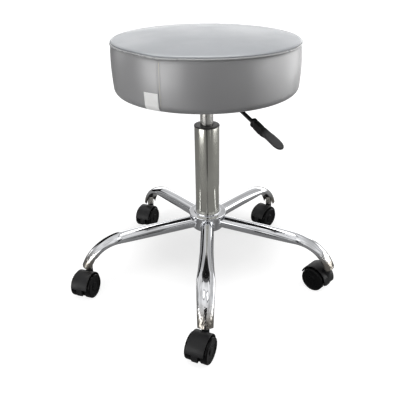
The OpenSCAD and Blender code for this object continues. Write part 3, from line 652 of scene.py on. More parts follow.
def path_tree(name, inputs, follow):
    """A Geometry Nodes tree that turns a path of edges into a piece, by a function that follows its curve."""
    sheet = new_tree("GeometryNodeTree", name, {"Geometry": "Geometry", **inputs, "Finish": "Material"},
                     {"Geometry": "Geometry"})
    curve = sheet.add("GeometryNodeMeshToCurve", sheet.source["Geometry"]).outputs[0]
    smooth = sheet.add("GeometryNodeSetShadeSmooth", Geometry=follow(sheet, curve))
    real = sheet.add("GeometryNodeRealizeInstances", smooth.outputs[0])
    finish = sheet.add("GeometryNodeSetMaterial", Geometry=real.outputs[0], Material=sheet.source["Finish"])
    sheet.feed(sheet.target["Geometry"], finish.outputs[0])
    return sheet.tree


def cord(sheet, curve):
    """A round cord along the path."""
    ring = sheet.add("GeometryNodeCurvePrimitiveCircle", mode="RADIUS", Radius=sheet.source["Radius"],
                     Resolution=sheet.source["Sides"])
    return sheet.add("GeometryNodeCurveToMesh", Curve=curve, Profile_Curve=ring.outputs[0]).outputs[0]


def beads(sheet, curve):
    """Rounded beads or stitches set at a pitch along the path, each drawn out along it."""
    spaced = sheet.add("GeometryNodeResampleCurve", mode="LENGTH", Curve=curve, Length=sheet.source["Pitch"])
    bead = sheet.add("GeometryNodeMeshUVSphere", Segments=12, Rings=8, Radius=1.0)
    way = sheet.add("GeometryNodeInputTangent").outputs[0]
    turn = sheet.add("FunctionNodeAlignRotationToVector", axis="X", Vector=way)
    made = sheet.add("GeometryNodeInstanceOnPoints", Points=spaced.outputs[0], Instance=bead.outputs["Mesh"],
                     Rotation=turn.outputs[0], Scale=sheet.source["Size"])
    return made.outputs[0]


def along_path(name, points, closed, tree, slot, **values):
    """Runs a tree over a path, and keeps what it makes as a plain mesh."""
    n = len(points)
    mesh = bpy.data.meshes.new(name + "_path")
    edges = [(i, (i + 1) % n) for i in range(n if closed else n - 1)]
    mesh.from_pydata([tuple(p) for p in points], edges, [])
    path = add_object(name + "_path", mesh)
    nodes = path.modifiers.new("path nodes", "NODES")
    nodes.node_group = tree
    values["Finish"] = MATERIALS[slot]
    for item in tree.interface.items_tree:
        if item.in_out == "INPUT" and item.name in values:
            nodes[item.identifier] = values[item.name]
    return add_object(name, settled(path))


CORD = path_tree("Cord along path", {"Radius": "Float", "Sides": "Int"}, cord)
BEADS = path_tree("Beads along path", {"Pitch": "Float", "Size": "Vector"}, beads)


# Legs

STRAIGHT_SHARES = [0.6, 0.8, 0.92]
ARC_PARTS = 9
WIDE_SHARES = [0, 0, 0.3, 0.55, 0.82, 1, 1, 0.93, 0.84, 0.74, 0.63, 0.52, 0.42, 0.34, 0.3]
FLAT_SHARES = [0, 0, 0.1, 0.25, 0.45, 0.72, 0.92, 1, 1, 0.95, 0.86, 0.76, 0.66, 0.6, 0.55]
ROOT_R = HUB_R - 2 * MM
STRAIGHT_RINGS = 44
BEND_RINGS = 84
LEG_SIDES = 80
LEG_STRAIGHT = (ARC_START_R - ROOT_R) / math.cos(LEG_SLOPE)
LEG_ARC = BEND_R * LEG_TURN
WELD_PITCH = 1.5 * MM
WELD_SIZE = (1.25 * MM, 1.2 * MM, 1.2 * MM)
WELD_STEPS = 120


def leg_line(s):
    """Place in the leg's plane, and fall, at a length s along the leg from its root."""
    if s <= LEG_STRAIGHT:
        r = ROOT_R + s * math.cos(LEG_SLOPE)
        return r, ARC_START_Z + (ARC_START_R - r) * math.tan(LEG_SLOPE), LEG_SLOPE
    fall = LEG_SLOPE + min((s - LEG_STRAIGHT) / BEND_R, LEG_TURN)
    past = max(0.0, s - LEG_STRAIGHT - LEG_ARC)
    r = ARC_START_R + BEND_R * (math.sin(fall) - math.sin(LEG_SLOPE)) + past * math.cos(fall)
    z = ARC_START_Z - BEND_R * (math.cos(LEG_SLOPE) - math.cos(fall)) - past * math.sin(fall)
    return r, z, fall


def leg_sheet():
    """The outer face of a leg, as an open tube, in the leg's own plane."""
    known = [0.0] + [(ARC_START_R * s - ROOT_R) / math.cos(LEG_SLOPE) for s in STRAIGHT_SHARES]
    known += [LEG_STRAIGHT + LEG_ARC * k / ARC_PARTS for k in range(ARC_PARTS + 1)]
    known.append(LEG_STRAIGHT + LEG_ARC + TIP_REACH)
    stops = [LEG_STRAIGHT * k / STRAIGHT_RINGS for k in range(STRAIGHT_RINGS)]
    stops += [LEG_STRAIGHT + (LEG_ARC + TIP_REACH) * k / BEND_RINGS for k in range(BEND_RINGS + 1)]
    bm = bmesh.new()
    rings = []
    for s in stops:
        r, z, fall = leg_line(s)
        half_w = (TUBE_D + (BEND_W - TUBE_D) * curve_table(known, WIDE_SHARES, s)) / 2
        half_t = (TUBE_D + (BEND_T - TUBE_D) * curve_table(known, FLAT_SHARES, s)) / 2
        ring = []
        for i in range(LEG_SIDES):
            a = math.tau * i / LEG_SIDES
            y = half_w * math.sin(a)
            x = r + half_t * math.cos(a) * math.sin(fall) if s else math.sqrt(ROOT_R ** 2 - y ** 2)
            ring.append(bm.verts.new((x, y, z + half_t * math.cos(a) * math.cos(fall))))
        rings.append(ring)
    for a, b in zip(rings, rings[1:]):
        for i in range(LEG_SIDES):
            j = (i + 1) % LEG_SIDES
            bm.faces.new((a[i], b[i], b[j], a[j]))
    return bm


def open_tip(bm):
    """Cuts the inner side of the tube's end away, and the slit in its outer side."""

    def tip_faces():
        """The faces near the tip, each with its middle."""
        pairs = [(f, f.calc_center_median()) for f in bm.faces]
        tip_top = SLEEVE_LOW + SLIT_H + TIP_ABOVE
        return [(f, c) for f, c in pairs if 0 < c.z < tip_top and c.x > STEM_CIRCLE_R - TIP_SPAN]

    def split(point, normal):
        faces = [f for f, c in tip_faces()]
        geom = list({v for f in faces for v in f.verts}) + list({e for f in faces for e in f.edges}) + faces
        bmesh.ops.bisect_plane(bm, geom=geom, plane_co=point, plane_no=normal, dist=1e-6)

    def drop(unwanted):
        bmesh.ops.delete(bm, geom=[f for f, c in tip_faces() if unwanted(c)], context="FACES")

    top = Vector((STEM_CIRCLE_R - OPEN_IN, 0, SLEEVE_LOW + OPEN_H))
    slant = (Vector((STEM_CIRCLE_R - OPEN_OUT, 0, SLEEVE_LOW)) - top).normalized()
    inward = Vector((-slant.z, 0, slant.x))
    split(top, Z_AXIS)
    split(top, inward)
    drop(lambda c: c.z < top.z and (c - top).dot(inward) < 0)
    slit_foot = Vector((STEM_CIRCLE_R, SLIT_LOW_W / 2, SLEEVE_LOW))
    slit_top = Vector((STEM_CIRCLE_R, SLIT_TOP_W / 2, SLEEVE_LOW + SLIT_H))
    edge = (slit_top - slit_foot).normalized()
    side = Vector((0, edge.z, -edge.y))
    split(slit_top, Z_AXIS)
    split(slit_foot, side)
    split(Vector((slit_foot.x, -slit_foot.y, slit_foot.z)), Vector((0, -side.y, side.z)))
    drop(lambda c: c.z < slit_top.z and c.x > STEM_CIRCLE_R
         and (abs(c.y) - slit_foot.y) * side.y + (c.z - slit_foot.z) * side.z < 0)


def leg_mesh():
    """The whole tube wall of a leg, with masks for its inner faces and for its tip."""
    bm = leg_sheet()
    open_tip(bm)
    bmesh.ops.remove_doubles(bm, verts=bm.verts, dist=0.01 * MM)
    outer = len(bm.verts)
    sheet = bpy.data.meshes.new("leg_sheet")
    bm.to_mesh(sheet)
    bm.free()
    mesh = settled(walled(add_object("leg_sheet", sheet), TUBE_WALL))
    add_mask(mesh, "inside", lambda k, co: k >= outer)
    add_mask(mesh, "tip", lambda k, co: (SLEEVE_LOW + PLEAT_TOP - co.z) / PLEAT_FADE)
    return mesh


def build_legs():
    master = leg_mesh()
    for i, where in enumerate(PLACES):
        place_copy(master, "leg_tube_" + where, leg_matrix(i), 60, "base", "chrome", "leg_" + where)


def build_welds():
    """A low bead where each leg runs into the hub."""
    root_z = ARC_START_Z + (ARC_START_R - HUB_R) * math.tan(LEG_SLOPE)
    path = []
    for k in range(WELD_STEPS):
        a = math.tau * k / WELD_STEPS
        y = TUBE_D / 2 * math.sin(a)
        path.append((math.sqrt(HUB_R ** 2 - y ** 2), y, root_z + TUBE_D / 2 * math.cos(a)))
    for i, where in enumerate(PLACES):
        bead = along_path("weld_" + where, path, True, BEADS, "chrome", Pitch=WELD_PITCH, Size=WELD_SIZE)
        bead.data.transform(leg_matrix(i))
        finish_piece(bead, "base", "chrome")


# Hub and lift

BORE_GAP = 0.2 * MM
COLUMN_IN = COLUMN_R - COLUMN_WALL
PLATE_TOP = column_low + 3 * MM
PLATE_BORE = 4.05 * MM
BUSH_LOW = column_top - BUSH_H
COLLAR_TOP = column_top + COLLAR_H
LIFT_IN = LIFT_R - LIFT_WALL
TAPER_H, TAPER = 34 * MM, 0.5 * MM

# Name, body, slot, CAD node, sides, steps of each rounding, and corners of (radius, height, rounding)
TURNED = [
    ("hub_turned", "base", "chrome", "hub", 128, 6, [
        (COLUMN_R - COLUMN_TAPER + BORE_GAP, hub_low, 0.4 * MM), (HUB_R, hub_low, 1.2 * MM),
        (HUB_R, flange_low, 0.8 * MM), (FLANGE_R, flange_low, 0.6 * MM), (FLANGE_R, flange_top, FLANGE_ROUND),
        (LIP_R, flange_top, 0.5 * MM), (LIP_R, hub_top, 0.9 * MM), (COLUMN_R + BORE_GAP, hub_top, 0.3 * MM)]),
    ("column_turned", "base", "column_nickel", "column_tube", 128, 5, [
        (PLATE_BORE, column_low, 0.2 * MM), (COLUMN_R - COLUMN_TAPER, column_low, 1.0 * MM),
        (COLUMN_R, flange_top, 0), (COLUMN_R, column_top, 0.5 * MM), (COLUMN_IN, column_top, 0.4 * MM),
        (COLUMN_IN, PLATE_TOP, 0.8 * MM), (PLATE_BORE, PLATE_TOP, 0.2 * MM)]),
    ("guide_bush_turned", "base", "bush_black", "guide_bush", 96, 5, [
        (LIFT_R + RUNNING, BUSH_LOW, 0.5 * MM), (COLUMN_IN - SEATED, BUSH_LOW, 0.5 * MM),
        (COLUMN_IN - SEATED, column_top, 0), (COLUMN_R + COLLAR_OVER, column_top, 0.3 * MM),
        (COLUMN_R + COLLAR_OVER, COLLAR_TOP, 1.0 * MM), (LIFT_R + RUNNING, COLLAR_TOP, 0.8 * MM)]),
    ("pressure_tube_turned", "seat", "tube_nickel", "pressure_tube", 96, 5, [
        (LIFT_IN, lift_low, 0.3 * MM), (LIFT_R, lift_low, 0.8 * MM), (LIFT_R, lift_top - TAPER_H, 0),
        (LIFT_R - TAPER, lift_top, 0.8 * MM), (LIFT_IN, lift_top, 0.3 * MM)]),
]


def build_turned():
    for name, body, slot, node, sides, steps, corners in TURNED:
        finish_piece(lathe(name, rounded(corners, steps), sides), body, slot, node)


# Casters

HOOD_STEPS = 72
WEB_STEPS, WEB_FOOT_STEPS = 64, 32
PIVOT_BORE = 4.05 * MM
AXLE_BORE = 3.05 * MM
TREAD_ROUND = 2.6 * MM
RIM_LIP = 4.2 * MM
RIM_IN = WHEEL_R - 3.5 * MM
DISH = 1.4 * MM
DISC_T = 3 * MM
HUB_OUT_R, HUB_OUT = 6.5 * MM, 1.2 * MM
CAP_R, CAP_IN = 7.5 * MM, 0.5 * MM
STEP_R, STEP = 14 * MM, 0.5 * MM


def web_arc(r, start, full, steps):
    """Points of an arc round the axle, as (x, z), from a start angle to its mirror image."""
    angles = [start + (full - 2 * start) * k / steps for k in range(steps + 1)]
    return [(CASTER_OFFSET + r * math.cos(a), WHEEL_R + r * math.sin(a)) for a in angles]


def hood_mesh():
    """A hood in the caster's frame: its curved cover, the web between the wheels, and the swivel boss."""
    half, inner = HOOD_W / 2, HOOD_R - HOOD_WALL
    section = rounded([(-half, inner, 0.5 * MM), (half, inner, 0.5 * MM), (half, HOOD_R, HOOD_ROUND),
                       (-half, HOOD_R, HOOD_ROUND)], 4)
    low, high = (math.radians(a) for a in HOOD_ANGLES)
    rings = []
    for k in range(HOOD_STEPS + 1):
        a = low + (high - low) * k / HOOD_STEPS
        rings.append([(CASTER_OFFSET + r * math.cos(a), y, WHEEL_R + r * math.sin(a)) for y, r in section])
    shell = tube_object("shell", rings, 50)
    web_r = HOOD_R - HOOD_WALL / 2
    outline = web_arc(web_r, -math.asin(WEB_LOW / web_r), math.pi, WEB_STEPS)
    outline += web_arc(WEB_FOOT_R, math.pi + math.asin(WEB_LOW / WEB_FOOT_R), 3 * math.pi, WEB_FOOT_STEPS)
    web = tube_object("web", [[(x, y, z) for x, z in outline] for y in (-WEB_T / 2, WEB_T / 2)], 30)
    boss = lathe("boss", rounded([(PIVOT_BORE, BOSS_LOW, 0), (BOSS_R, BOSS_LOW, 0),
                                  (BOSS_R, BOSS_TOP, 0.8 * MM), (PIVOT_BORE, BOSS_TOP, 0.4 * MM)], 4), 48)
    for part in (web, boss):
        union = shell.modifiers.new("union", "BOOLEAN")
        union.operation = "UNION"
        union.solver = "EXACT"
        union.object = part
    return settled(shell, web, boss)


def wheel_mesh():
    """A wheel about Z, its inner rim at z = 0 and its outer face at z = WHEEL_W."""
    dish_z = WHEEL_W - DISH
    disc_z = dish_z - DISC_T
    corners = [
        (AXLE_BORE, -HUB_OUT, 0.2 * MM), (HUB_OUT_R, -HUB_OUT, 0.4 * MM), (HUB_OUT_R, disc_z, 0.5 * MM),
        (RIM_IN, disc_z, 0.5 * MM), (RIM_IN, 0, 0.5 * MM), (WHEEL_R, 0, TREAD_ROUND),
        (WHEEL_R, WHEEL_W, TREAD_ROUND), (WHEEL_R - RIM_LIP, WHEEL_W, 0.5 * MM),
        (WHEEL_R - RIM_LIP - DISH, dish_z, 0.6 * MM), (STEP_R, dish_z, 0.3 * MM),
        (STEP_R - STEP, dish_z - STEP, 0.3 * MM), (CAP_R + DISH, dish_z - STEP, 0.5 * MM),
        (CAP_R, WHEEL_W - CAP_IN, 0.6 * MM), (0, WHEEL_W - CAP_IN, 0), (0, disc_z + SEATED, 0),
        (AXLE_BORE, disc_z + SEATED, 0),
    ]
    return settled(lathe("wheel", rounded(corners, 4), 96, 30))


def build_casters():
    hood_master = hood_mesh()
    wheel_master = wheel_mesh()
    for i, where in enumerate(PLACES):
        at = caster_matrix(i)
        place_copy(hood_master, "hood_moulded_" + where, at, 35, "caster_" + where, "hood_black",
                   "hood_" + where)
        for side, sign in SIDES.items():
            out = Matrix.Rotation(math.radians(-90 * sign), 4, "X")
            seat = at @ Matrix.Translation((CASTER_OFFSET, sign * WHEEL_SPACE / 2, WHEEL_R)) @ out
            node = "wheel_" + where + "_" + side
            place_copy(wheel_master, "wheel_turned_" + where + "_" + side, seat, 30, node, "wheel_black",
                       node)


# Lever

GRIP_PLACES = [0.00, 0.02, 0.16, 0.30, 0.40, 0.50, 0.60, 0.72, 0.84, 0.92, 0.975, 1.0]
GRIP_WIDE_SHARES = [0.50, 0.54, 0.54, 0.54, 0.57, 0.74, 0.92, 1.00, 0.97, 0.80, 0.50, 0.0]
GRIP_TALL_SHARES = [0.92, 0.97, 0.98, 1.00, 0.92, 0.64, 0.40, 0.31, 0.30, 0.29, 0.22, 0.0]
GRIP_RISE_SHARES = [0.00, 0.00, -0.03, -0.06, -0.03, 0.03, 0.09, 0.10, 0.07, 0.04, 0.02, 0.0]
GRIP_GROOVES = [(0.09, 0.14), (0.33, 0.1)]
GROOVE_SPREAD = 0.014
GRIP_SIDES, GRIP_STEPS = 48, 130
GRIP_SQUARE = 0.5
GRIP_EASE = 1.25
# Where the paler tone painted on the paddle for its lit top begins, and over what share of the grip it fades in
PADDLE_LIGHT_FADE, PADDLE_LIGHT_FROM = 0.14, 2.9
ROD_SIDES, ROD_STEPS = 32, 12
ROD_EDGE = 0.5 * MM
ROD_SLEEVE_AT, ROD_SLEEVE_RISE = 8 * MM, 0.6 * MM
ARM = 52 * MM
BOSS_OUT_R, BOSS_IN_R, BOSS_HALF = 4 * MM, 2.05 * MM, 9.8 * MM
LEVER_OUT_L = (LEVER_TIP_X - LEVER_BEND_X - LEVER_BEND_R * math.sin(LEVER_FALL)) / math.cos(LEVER_FALL)


def lever_matrix():
    """The outer stretch's frame: +X outward along the falling rod, and +Z square to it."""
    turn = Matrix.Rotation(LEVER_TURN, 4, "Z")
    fall = Matrix.Rotation(LEVER_FALL, 4, "Y")
    return (turn @ Matrix.Translation((LEVER_BEND_X, 0, lever_z - LEVER_BEND_R)) @ fall
            @ Matrix.Translation((0, 0, LEVER_BEND_R)))


def build_lever_rod():
    """One bent rod with a hinge boss, from over the release pin to inside the grip."""
    stations = [(-LEVER_IN, 0.0, 0.0, LEVER_R - ROD_EDGE), (-LEVER_IN + ROD_EDGE, 0.0, 0.0, LEVER_R),
                (LEVER_BEND_X, 0.0, 0.0, LEVER_R)]
    for k in range(1, ROD_STEPS + 1):
        a = LEVER_FALL * k / ROD_STEPS
        drop = LEVER_BEND_R * (1 - math.cos(a))
        stations.append((LEVER_BEND_X + LEVER_BEND_R * math.sin(a), -drop, a, LEVER_R))
    x, z, a, r = stations[-1]
    run = LEVER_OUT_L - GRIP_L + GRIP_BORE
    for out, r in ((ROD_SLEEVE_AT, LEVER_R), (ROD_SLEEVE_AT + ROD_SLEEVE_RISE, LEVER_OUT_R),
                   (run - ROD_EDGE, LEVER_OUT_R), (run, LEVER_OUT_R - ROD_EDGE)):
        stations.append((x + out * math.cos(a), z - out * math.sin(a), a, r))
    turns = [math.tau * j / ROD_SIDES for j in range(ROD_SIDES)]
    rings = []
    for x, z, a, r in stations:
        high = lever_z + z
        rings.append([
            (x + r * math.cos(t) * math.sin(a), r * math.sin(t), high + r * math.cos(t) * math.cos(a))
            for t in turns])
    rod = tube_object("lever_rod_bent", rings, 40)
    boss = lathe("lever_boss", rounded([(BOSS_IN_R, -BOSS_HALF, 0), (BOSS_OUT_R, -BOSS_HALF, 0.5 * MM),
                                        (BOSS_OUT_R, BOSS_HALF, 0.5 * MM), (BOSS_IN_R, BOSS_HALF, 0)], 3), 40)
    boss.data.transform(Matrix.Translation((ARM, 0, lever_z)) @ Matrix.Rotation(math.radians(90), 4, "X"))
    for piece in (rod, boss):
        piece.data.transform(Matrix.Rotation(LEVER_TURN, 4, "Z"))
    finish_piece(rod, "lever", "lever_black", "lever_rod")
    finish_piece(boss, "lever", "lever_black")


def build_grip():
    """A tall squarish inner half that flattens into a thin rounded paddle."""
    n = GRIP_SIDES
    verts = []
    for k in range(GRIP_STEPS + 1):
        t = 1 - (1 - k / GRIP_STEPS) ** GRIP_EASE
        wide = curve_table(GRIP_PLACES, GRIP_WIDE_SHARES, t) * GRIP_W / 2
        tall = curve_table(GRIP_PLACES, GRIP_TALL_SHARES, t) * GRIP_T / 2
        rise = curve_table(GRIP_PLACES, GRIP_RISE_SHARES, t) * GRIP_T
        if t > GRIP_PLACES[-2]:
            left = math.sqrt((1 - t) / (1 - GRIP_PLACES[-2]))
            wide = GRIP_WIDE_SHARES[-2] * GRIP_W / 2 * left
            tall = GRIP_TALL_SHARES[-2] * GRIP_T / 2 * left
        if k == GRIP_STEPS:
            verts.append((GRIP_L, 0, rise))
            break
        waist = 1 - sum(depth * math.exp(-((t - at) / GROOVE_SPREAD) ** 2) for at, depth in GRIP_GROOVES)
        for j in range(n):
            c, s = math.cos(math.tau * j / n), math.sin(math.tau * j / n)
            up = math.copysign(abs(c) ** GRIP_SQUARE, c)
            across = math.copysign(abs(s) ** GRIP_SQUARE, s)
            verts.append((t * GRIP_L, across * wide * waist, rise + up * tall * waist))
    last = len(verts) - 1
    faces = skin(GRIP_STEPS, n) + [tuple(range(n))]
    faces += [(last - n + j, last - n + (j + 1) % n, last) for j in range(n)]
    grip = mesh_object("lever_grip_moulded", verts, faces, 45)
    # Mask for the paler tone painted on the paddle, standing in for the light on its flat top
    add_mask(grip.data, "painted_paddle_light", lambda k, co: co.x / GRIP_L / PADDLE_LIGHT_FADE - PADDLE_LIGHT_FROM)
    grip.data.transform(lever_matrix() @ Matrix.Translation((LEVER_OUT_L - GRIP_L, 0, 0)))
    finish_piece(grip, "lever", "grip_black", "lever_grip")


# Seat

SIDE_POWER = 1.3
DIP_POWER = 5
JOIN_WIDE, JOIN_WIDE_SHARE = 6, 0.4
# Where the relief of the simulation fades out on the side band, below and above
SWELL_FROM, SWELL_RISE, SWELL_FALL = 0.6 * EDGE_R, 0.25 * SEAT_H, 0.12 * SEAT_H
RAY_IN = 30 * MM

# The padding for the simulation, and the foam
PADDING_IN, PADDING_ROWS = 1.5 * MM, 14
FOAM_IN, FOAM_ROWS, FOAM_FOLD_ROWS = 1.4 * MM, 16, 6
FOAM_WELT_GAP, FOAM_SIDE_GAP = 4 * WELT_R, 4.5 * WELT_R
FOAM_RIM = 0.93
BAY_GAP = 0.3 * MM
VOXEL = 5 * MM
SIM_FRAMES = 20
SIM_PRESSURE = 4
SIM_QUALITY = 6
SMOOTHINGS = 3
HELD_RIM, HELD_HIGH, HELD_JOIN = 5 * MM, 6 * MM, 5 * MM
HELD_FROM = 0.8 * SEAT_R

# Welt and tag
WELT_STEPS = 720
TAG_GAP, TAG_T = 0.3 * MM, 0.5 * MM
TAG_COLS, TAG_ROWS = 24, 30
TAG_UNDER = math.radians(50) * EDGE_R
STITCH_IN = 2.2 * MM
STITCH_PITCH = 3 * MM
STITCH_SIZE = (1.1 * MM, 0.28 * MM, 0.28 * MM)


def angle_off(a, at):
    return abs((a - at + 540) % 360 - 180)


def bell(a, at, spread):
    return math.exp(-(angle_off(a, at) / spread) ** 2)


def welt_dip(a):
    """The join pulls the welt down a little, and the stretch beside it stands up."""
    return -JOIN_PULL * (bell(a, JOIN_AZ, JOIN_SPREAD) + PUFF_SHARE * bell(a, PUFF_AZ, PUFF_SPREAD))


def up_share(z):
    return min(1.0, max(0.0, z - seat_low - EDGE_R) / (SEAT_H - EDGE_R))


def dip_at(a, z):
    return welt_dip(a) * up_share(z)


def tilted(point):
    """The padding is a little thicker on the left, which lifts that side of the cover."""
    return point - Z_AXIS * (SEAT_TILT * point.x * up_share(point.z))


def outward(a):
    """The level direction at an angle in degrees."""
    return Vector((math.cos(math.radians(a)), math.sin(math.radians(a)), 0))


def azimuth(point):
    return math.degrees(math.atan2(point.y, point.x))


def from_join(a):
    """Length round the seat from the side's upright join."""
    return angle_off(a, JOIN_AZ) * math.pi / 180 * SEAT_R


def quarter(n):
    """Shares from 0 to 1 in n steps, closer together toward 1."""
    return [math.sin(math.pi / 2 * k / n) for k in range(n + 1)]


def fold_point(a, lift=0.0):
    """(radius, height) at an angle round the side's lower edge, lifted off it."""
    r = EDGE_R + lift
    return SEAT_R - EDGE_R + r * math.cos(a), seat_low + EDGE_R - r * math.sin(a)


def top_height(share):
    """Height of the top at a share of its radius: a low crown that rolls down into the welt."""
    into = max(0.0, 1 - TOP_R * (1 - share) / ROLL_W)
    return welt_z + CROWN_H - CROWN_FALL * share ** CROWN_POWER - ROLL_DROP * (1 - math.sqrt(1 - into ** 2))


def side_rows():
    """(radius, height) down the side band, from its tuck under the welt to where it meets the dust cover."""
    start = welt_z - WELT_R
    out = []
    for k in range(SIDE_ROWS + 1):
        t = (k / SIDE_ROWS) ** SIDE_POWER
        drop = t * (start - seat_low - EDGE_R)
        tuck = SIDE_TUCK * math.exp(-drop / CREASE_W)
        out.append((SEAT_R + SIDE_SWELL * math.sin(math.pi * t) - tuck, start - drop))
    out += [fold_point(math.pi / 2 * k / FOLD_ROWS) for k in range(1, FOLD_ROWS + 1)]
    for k in range(1, UNDER_ROWS + 1):
        out.append((SEAT_R - EDGE_R + (UNDER_R - SEAT_R + EDGE_R) * k / UNDER_ROWS, seat_low))
    return out


def stuffed_form():
    """The padding as one closed form, a little smaller than the cover, for the simulation."""
    outline = [(share * TOP_R, top_height(share) - PADDING_IN) for share in quarter(PADDING_ROWS)]
    outline += [(r - PADDING_IN, z) for r, z in side_rows() if z > seat_low + PADDING_IN]
    outline += [(SEAT_R - EDGE_R, seat_low + PADDING_IN), (0, seat_low + PADDING_IN)]
    return lathe("padding", outline, 96, 180)


def puffed():
    """Swells the padding with Cloth under air pressure, held at the welt, the side join and the underside."""
    form = stuffed_form()
    remesh = form.modifiers.new("even faces", "REMESH")
    remesh.mode = "VOXEL"
    remesh.voxel_size = VOXEL
    painted_paddle_light = add_object("padding", settled(form))
    start = [v.co.copy() for v in painted_paddle_light.data.vertices]
    held = painted_paddle_light.vertex_groups.new(name="held")
    for k, co in enumerate(start):
        r = math.hypot(co.x, co.y)
        rim = math.exp(-(((r - TOP_R) / HELD_RIM) ** 2 + ((co.z - welt_z) / HELD_HIGH) ** 2))
        seam = math.exp(-(from_join(azimuth(co)) / HELD_JOIN) ** 2) if r > HELD_FROM else 0
        under = 1 if co.z < seat_low + EDGE_R else 0
        held.add([k], min(1, max(rim, seam, under)), "REPLACE")
    cloth = painted_paddle_light.modifiers.new("cover under pressure", "CLOTH").settings
    cloth.use_pressure = True
    cloth.uniform_pressure_force = SIM_PRESSURE
    cloth.effector_weights.gravity = 0
    cloth.vertex_group_mass = "held"
    cloth.quality = SIM_QUALITY
    scene = bpy.context.scene
    scene.frame_start, scene.frame_end = 1, SIM_FRAMES
    for n in range(1, SIM_FRAMES + 1):
        scene.frame_set(n)
    swollen = settled(painted_paddle_light)
    scene.frame_set(1)
    for v, was in zip(swollen.vertices, start):
        move = v.co - was
        if move.length > PUFF_CAP:
            v.co = was + move * (PUFF_CAP / move.length)
    bm = bmesh.new()
    bm.from_mesh(swollen)
    for _ in range(SMOOTHINGS):
        bmesh.ops.smooth_vert(bm, verts=bm.verts, factor=0.5,
                              use_axis_x=True, use_axis_y=True, use_axis_z=True)
    tree = BVHTree.FromBMesh(bm)
    bm.free()
    return tree


def swells(tree, spots):
    """The simulated relief at each (point, direction), as a share of its height over the mean."""
    if tree is None:
        return [0.0] * len(spots)
    gains = []
    for point, out in spots:
        hit = tree.ray_cast(point - out * RAY_IN, out)
        gains.append(0.0 if hit[0] is None else (hit[0] - point).dot(out))
    mean = sum(gains) / len(gains)
    return [max(SWELL_LOW, min(SWELL_HIGH, (gain - mean) * SWELL_SHARE)) for gain in gains]


def join_groove(az):
    """Depth of the side band's upright join, a narrow valley with a wider pull beside it."""
    off = from_join(az)
    wide = JOIN_WIDE_SHARE * JOIN_DEEP * math.exp(-(off / (JOIN_WIDE * JOIN_W)) ** 2)
    return JOIN_DEEP * math.exp(-(off / JOIN_W) ** 2) + wide


def finish_cover(name, verts, faces, slot, node):
    """One panel of the vinyl cover."""
    piece = walled(mesh_object(name, verts, faces, 180), VINYL_T)
    finish_piece(piece, "seat", slot, node)


def build_cushion():
    """The padded cover: a crowned top panel, and a side band that turns under the seat."""
    tree = puffed()
    n = COVER_SIDES
    angles = [360 * i / n for i in range(n)]
    outs = [outward(a) for a in angles]
    shares = quarter(TOP_ROWS)[1:]
    places = [(TOP_R * share, top_height(share)) for share in shares]
    places += [(TOP_R - back * MM, top_height(1) - down * MM) for back, down in ROLL_TUCK]
    shares += [1] * len(ROLL_TUCK)
    spots = [(Z_AXIS * top_height(0), Z_AXIS)]
    spots += [(out * r + Z_AXIS * z, Z_AXIS) for r, z in places for out in outs]
    verts = []
    for k, ((point, out), swell) in enumerate(zip(spots, swells(tree, spots))):
        share = shares[(k - 1) // n] if k else 0
        here = point + out * (swell * min(1.0, (1 - share) * TOP_R / (3 * CREASE_W)))
        here.z += welt_dip(angles[(k - 1) % n]) * share ** DIP_POWER
        verts.append(tilted(here))
    faces = [(0, 1 + i, 1 + (i + 1) % n) for i in range(n)] + skin(len(shares), n, 1)
    finish_cover("seat_top_cover", verts, faces, "vinyl_top", "top_panel")

    rows = side_rows()
    spots = [(out * r + Z_AXIS * z, out) for r, z in rows for out in outs]
    verts = []
    for k, ((point, out), swell) in enumerate(zip(spots, swells(tree, spots))):
        z = point.z
        high = clamp((z - seat_low - SWELL_FROM) / SWELL_RISE)
        low = clamp((welt_z - z) / SWELL_FALL)
        here = point + out * (high * low * swell)
        if z > seat_low + 0.5 * MM:
            here -= out * join_groove(angles[k % n])
        here.z += dip_at(angles[k % n], z)
        verts.append(tilted(here))
    finish_cover("seat_side_cover", verts, skin(len(rows), n), "vinyl_side", "side_band")


def build_foam():
    """The foam under the cover, shaped like it, with a flat bay for the board."""
    board_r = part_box("seat_board")[1].x
    bay_top = max(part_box("seat_board")[1].z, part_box("tee_nuts")[1].z) + BAY_GAP
    rim = TOP_R - FOAM_IN
    outline = [(rim * share, top_height(share) - FOAM_IN) for share in quarter(FOAM_ROWS)[:-1]]
    outline += [(rim, welt_z - FOAM_WELT_GAP)]
    outline += [(r - FOAM_IN, z) for r, z in side_rows() if seat_low + EDGE_R < z < welt_z - FOAM_SIDE_GAP]
    outline += [fold_point(math.pi / 2 * k / FOAM_FOLD_ROWS, -FOAM_IN) for k in range(FOAM_FOLD_ROWS + 1)]
    outline += [(board_r + BAY_GAP, seat_low + FOAM_IN), (board_r + BAY_GAP, bay_top), (0, bay_top)]
    foam = lathe("seat_foam_cut", outline, 120, 40)
    for v in foam.data.vertices:
        out = min(1.0, math.hypot(v.co.x, v.co.y) / TOP_R)
        if v.co.z > bay_top or out > FOAM_RIM:
            v.co.z += dip_at(azimuth(v.co), v.co.z) * out ** DIP_POWER
            v.co = tilted(v.co)
    finish_piece(foam, "seat", "foam", "seat_foam")


def build_welt():
    height = welt_z - WELT_R + WELT_LIFT
    angles = [360 * k / WELT_STEPS for k in range(WELT_STEPS)]
    path = [tilted(outward(a) * WELT_RING_R + Z_AXIS * (height + welt_dip(a))) for a in angles]
    # The welt takes the lighter vinyl copy, a painted highlight
    welt = along_path("seat_welt_cord", path, True, CORD, "vinyl_welt", Radius=WELT_R, Sides=16)
    finish_piece(welt, "seat", "vinyl_welt", "welt")


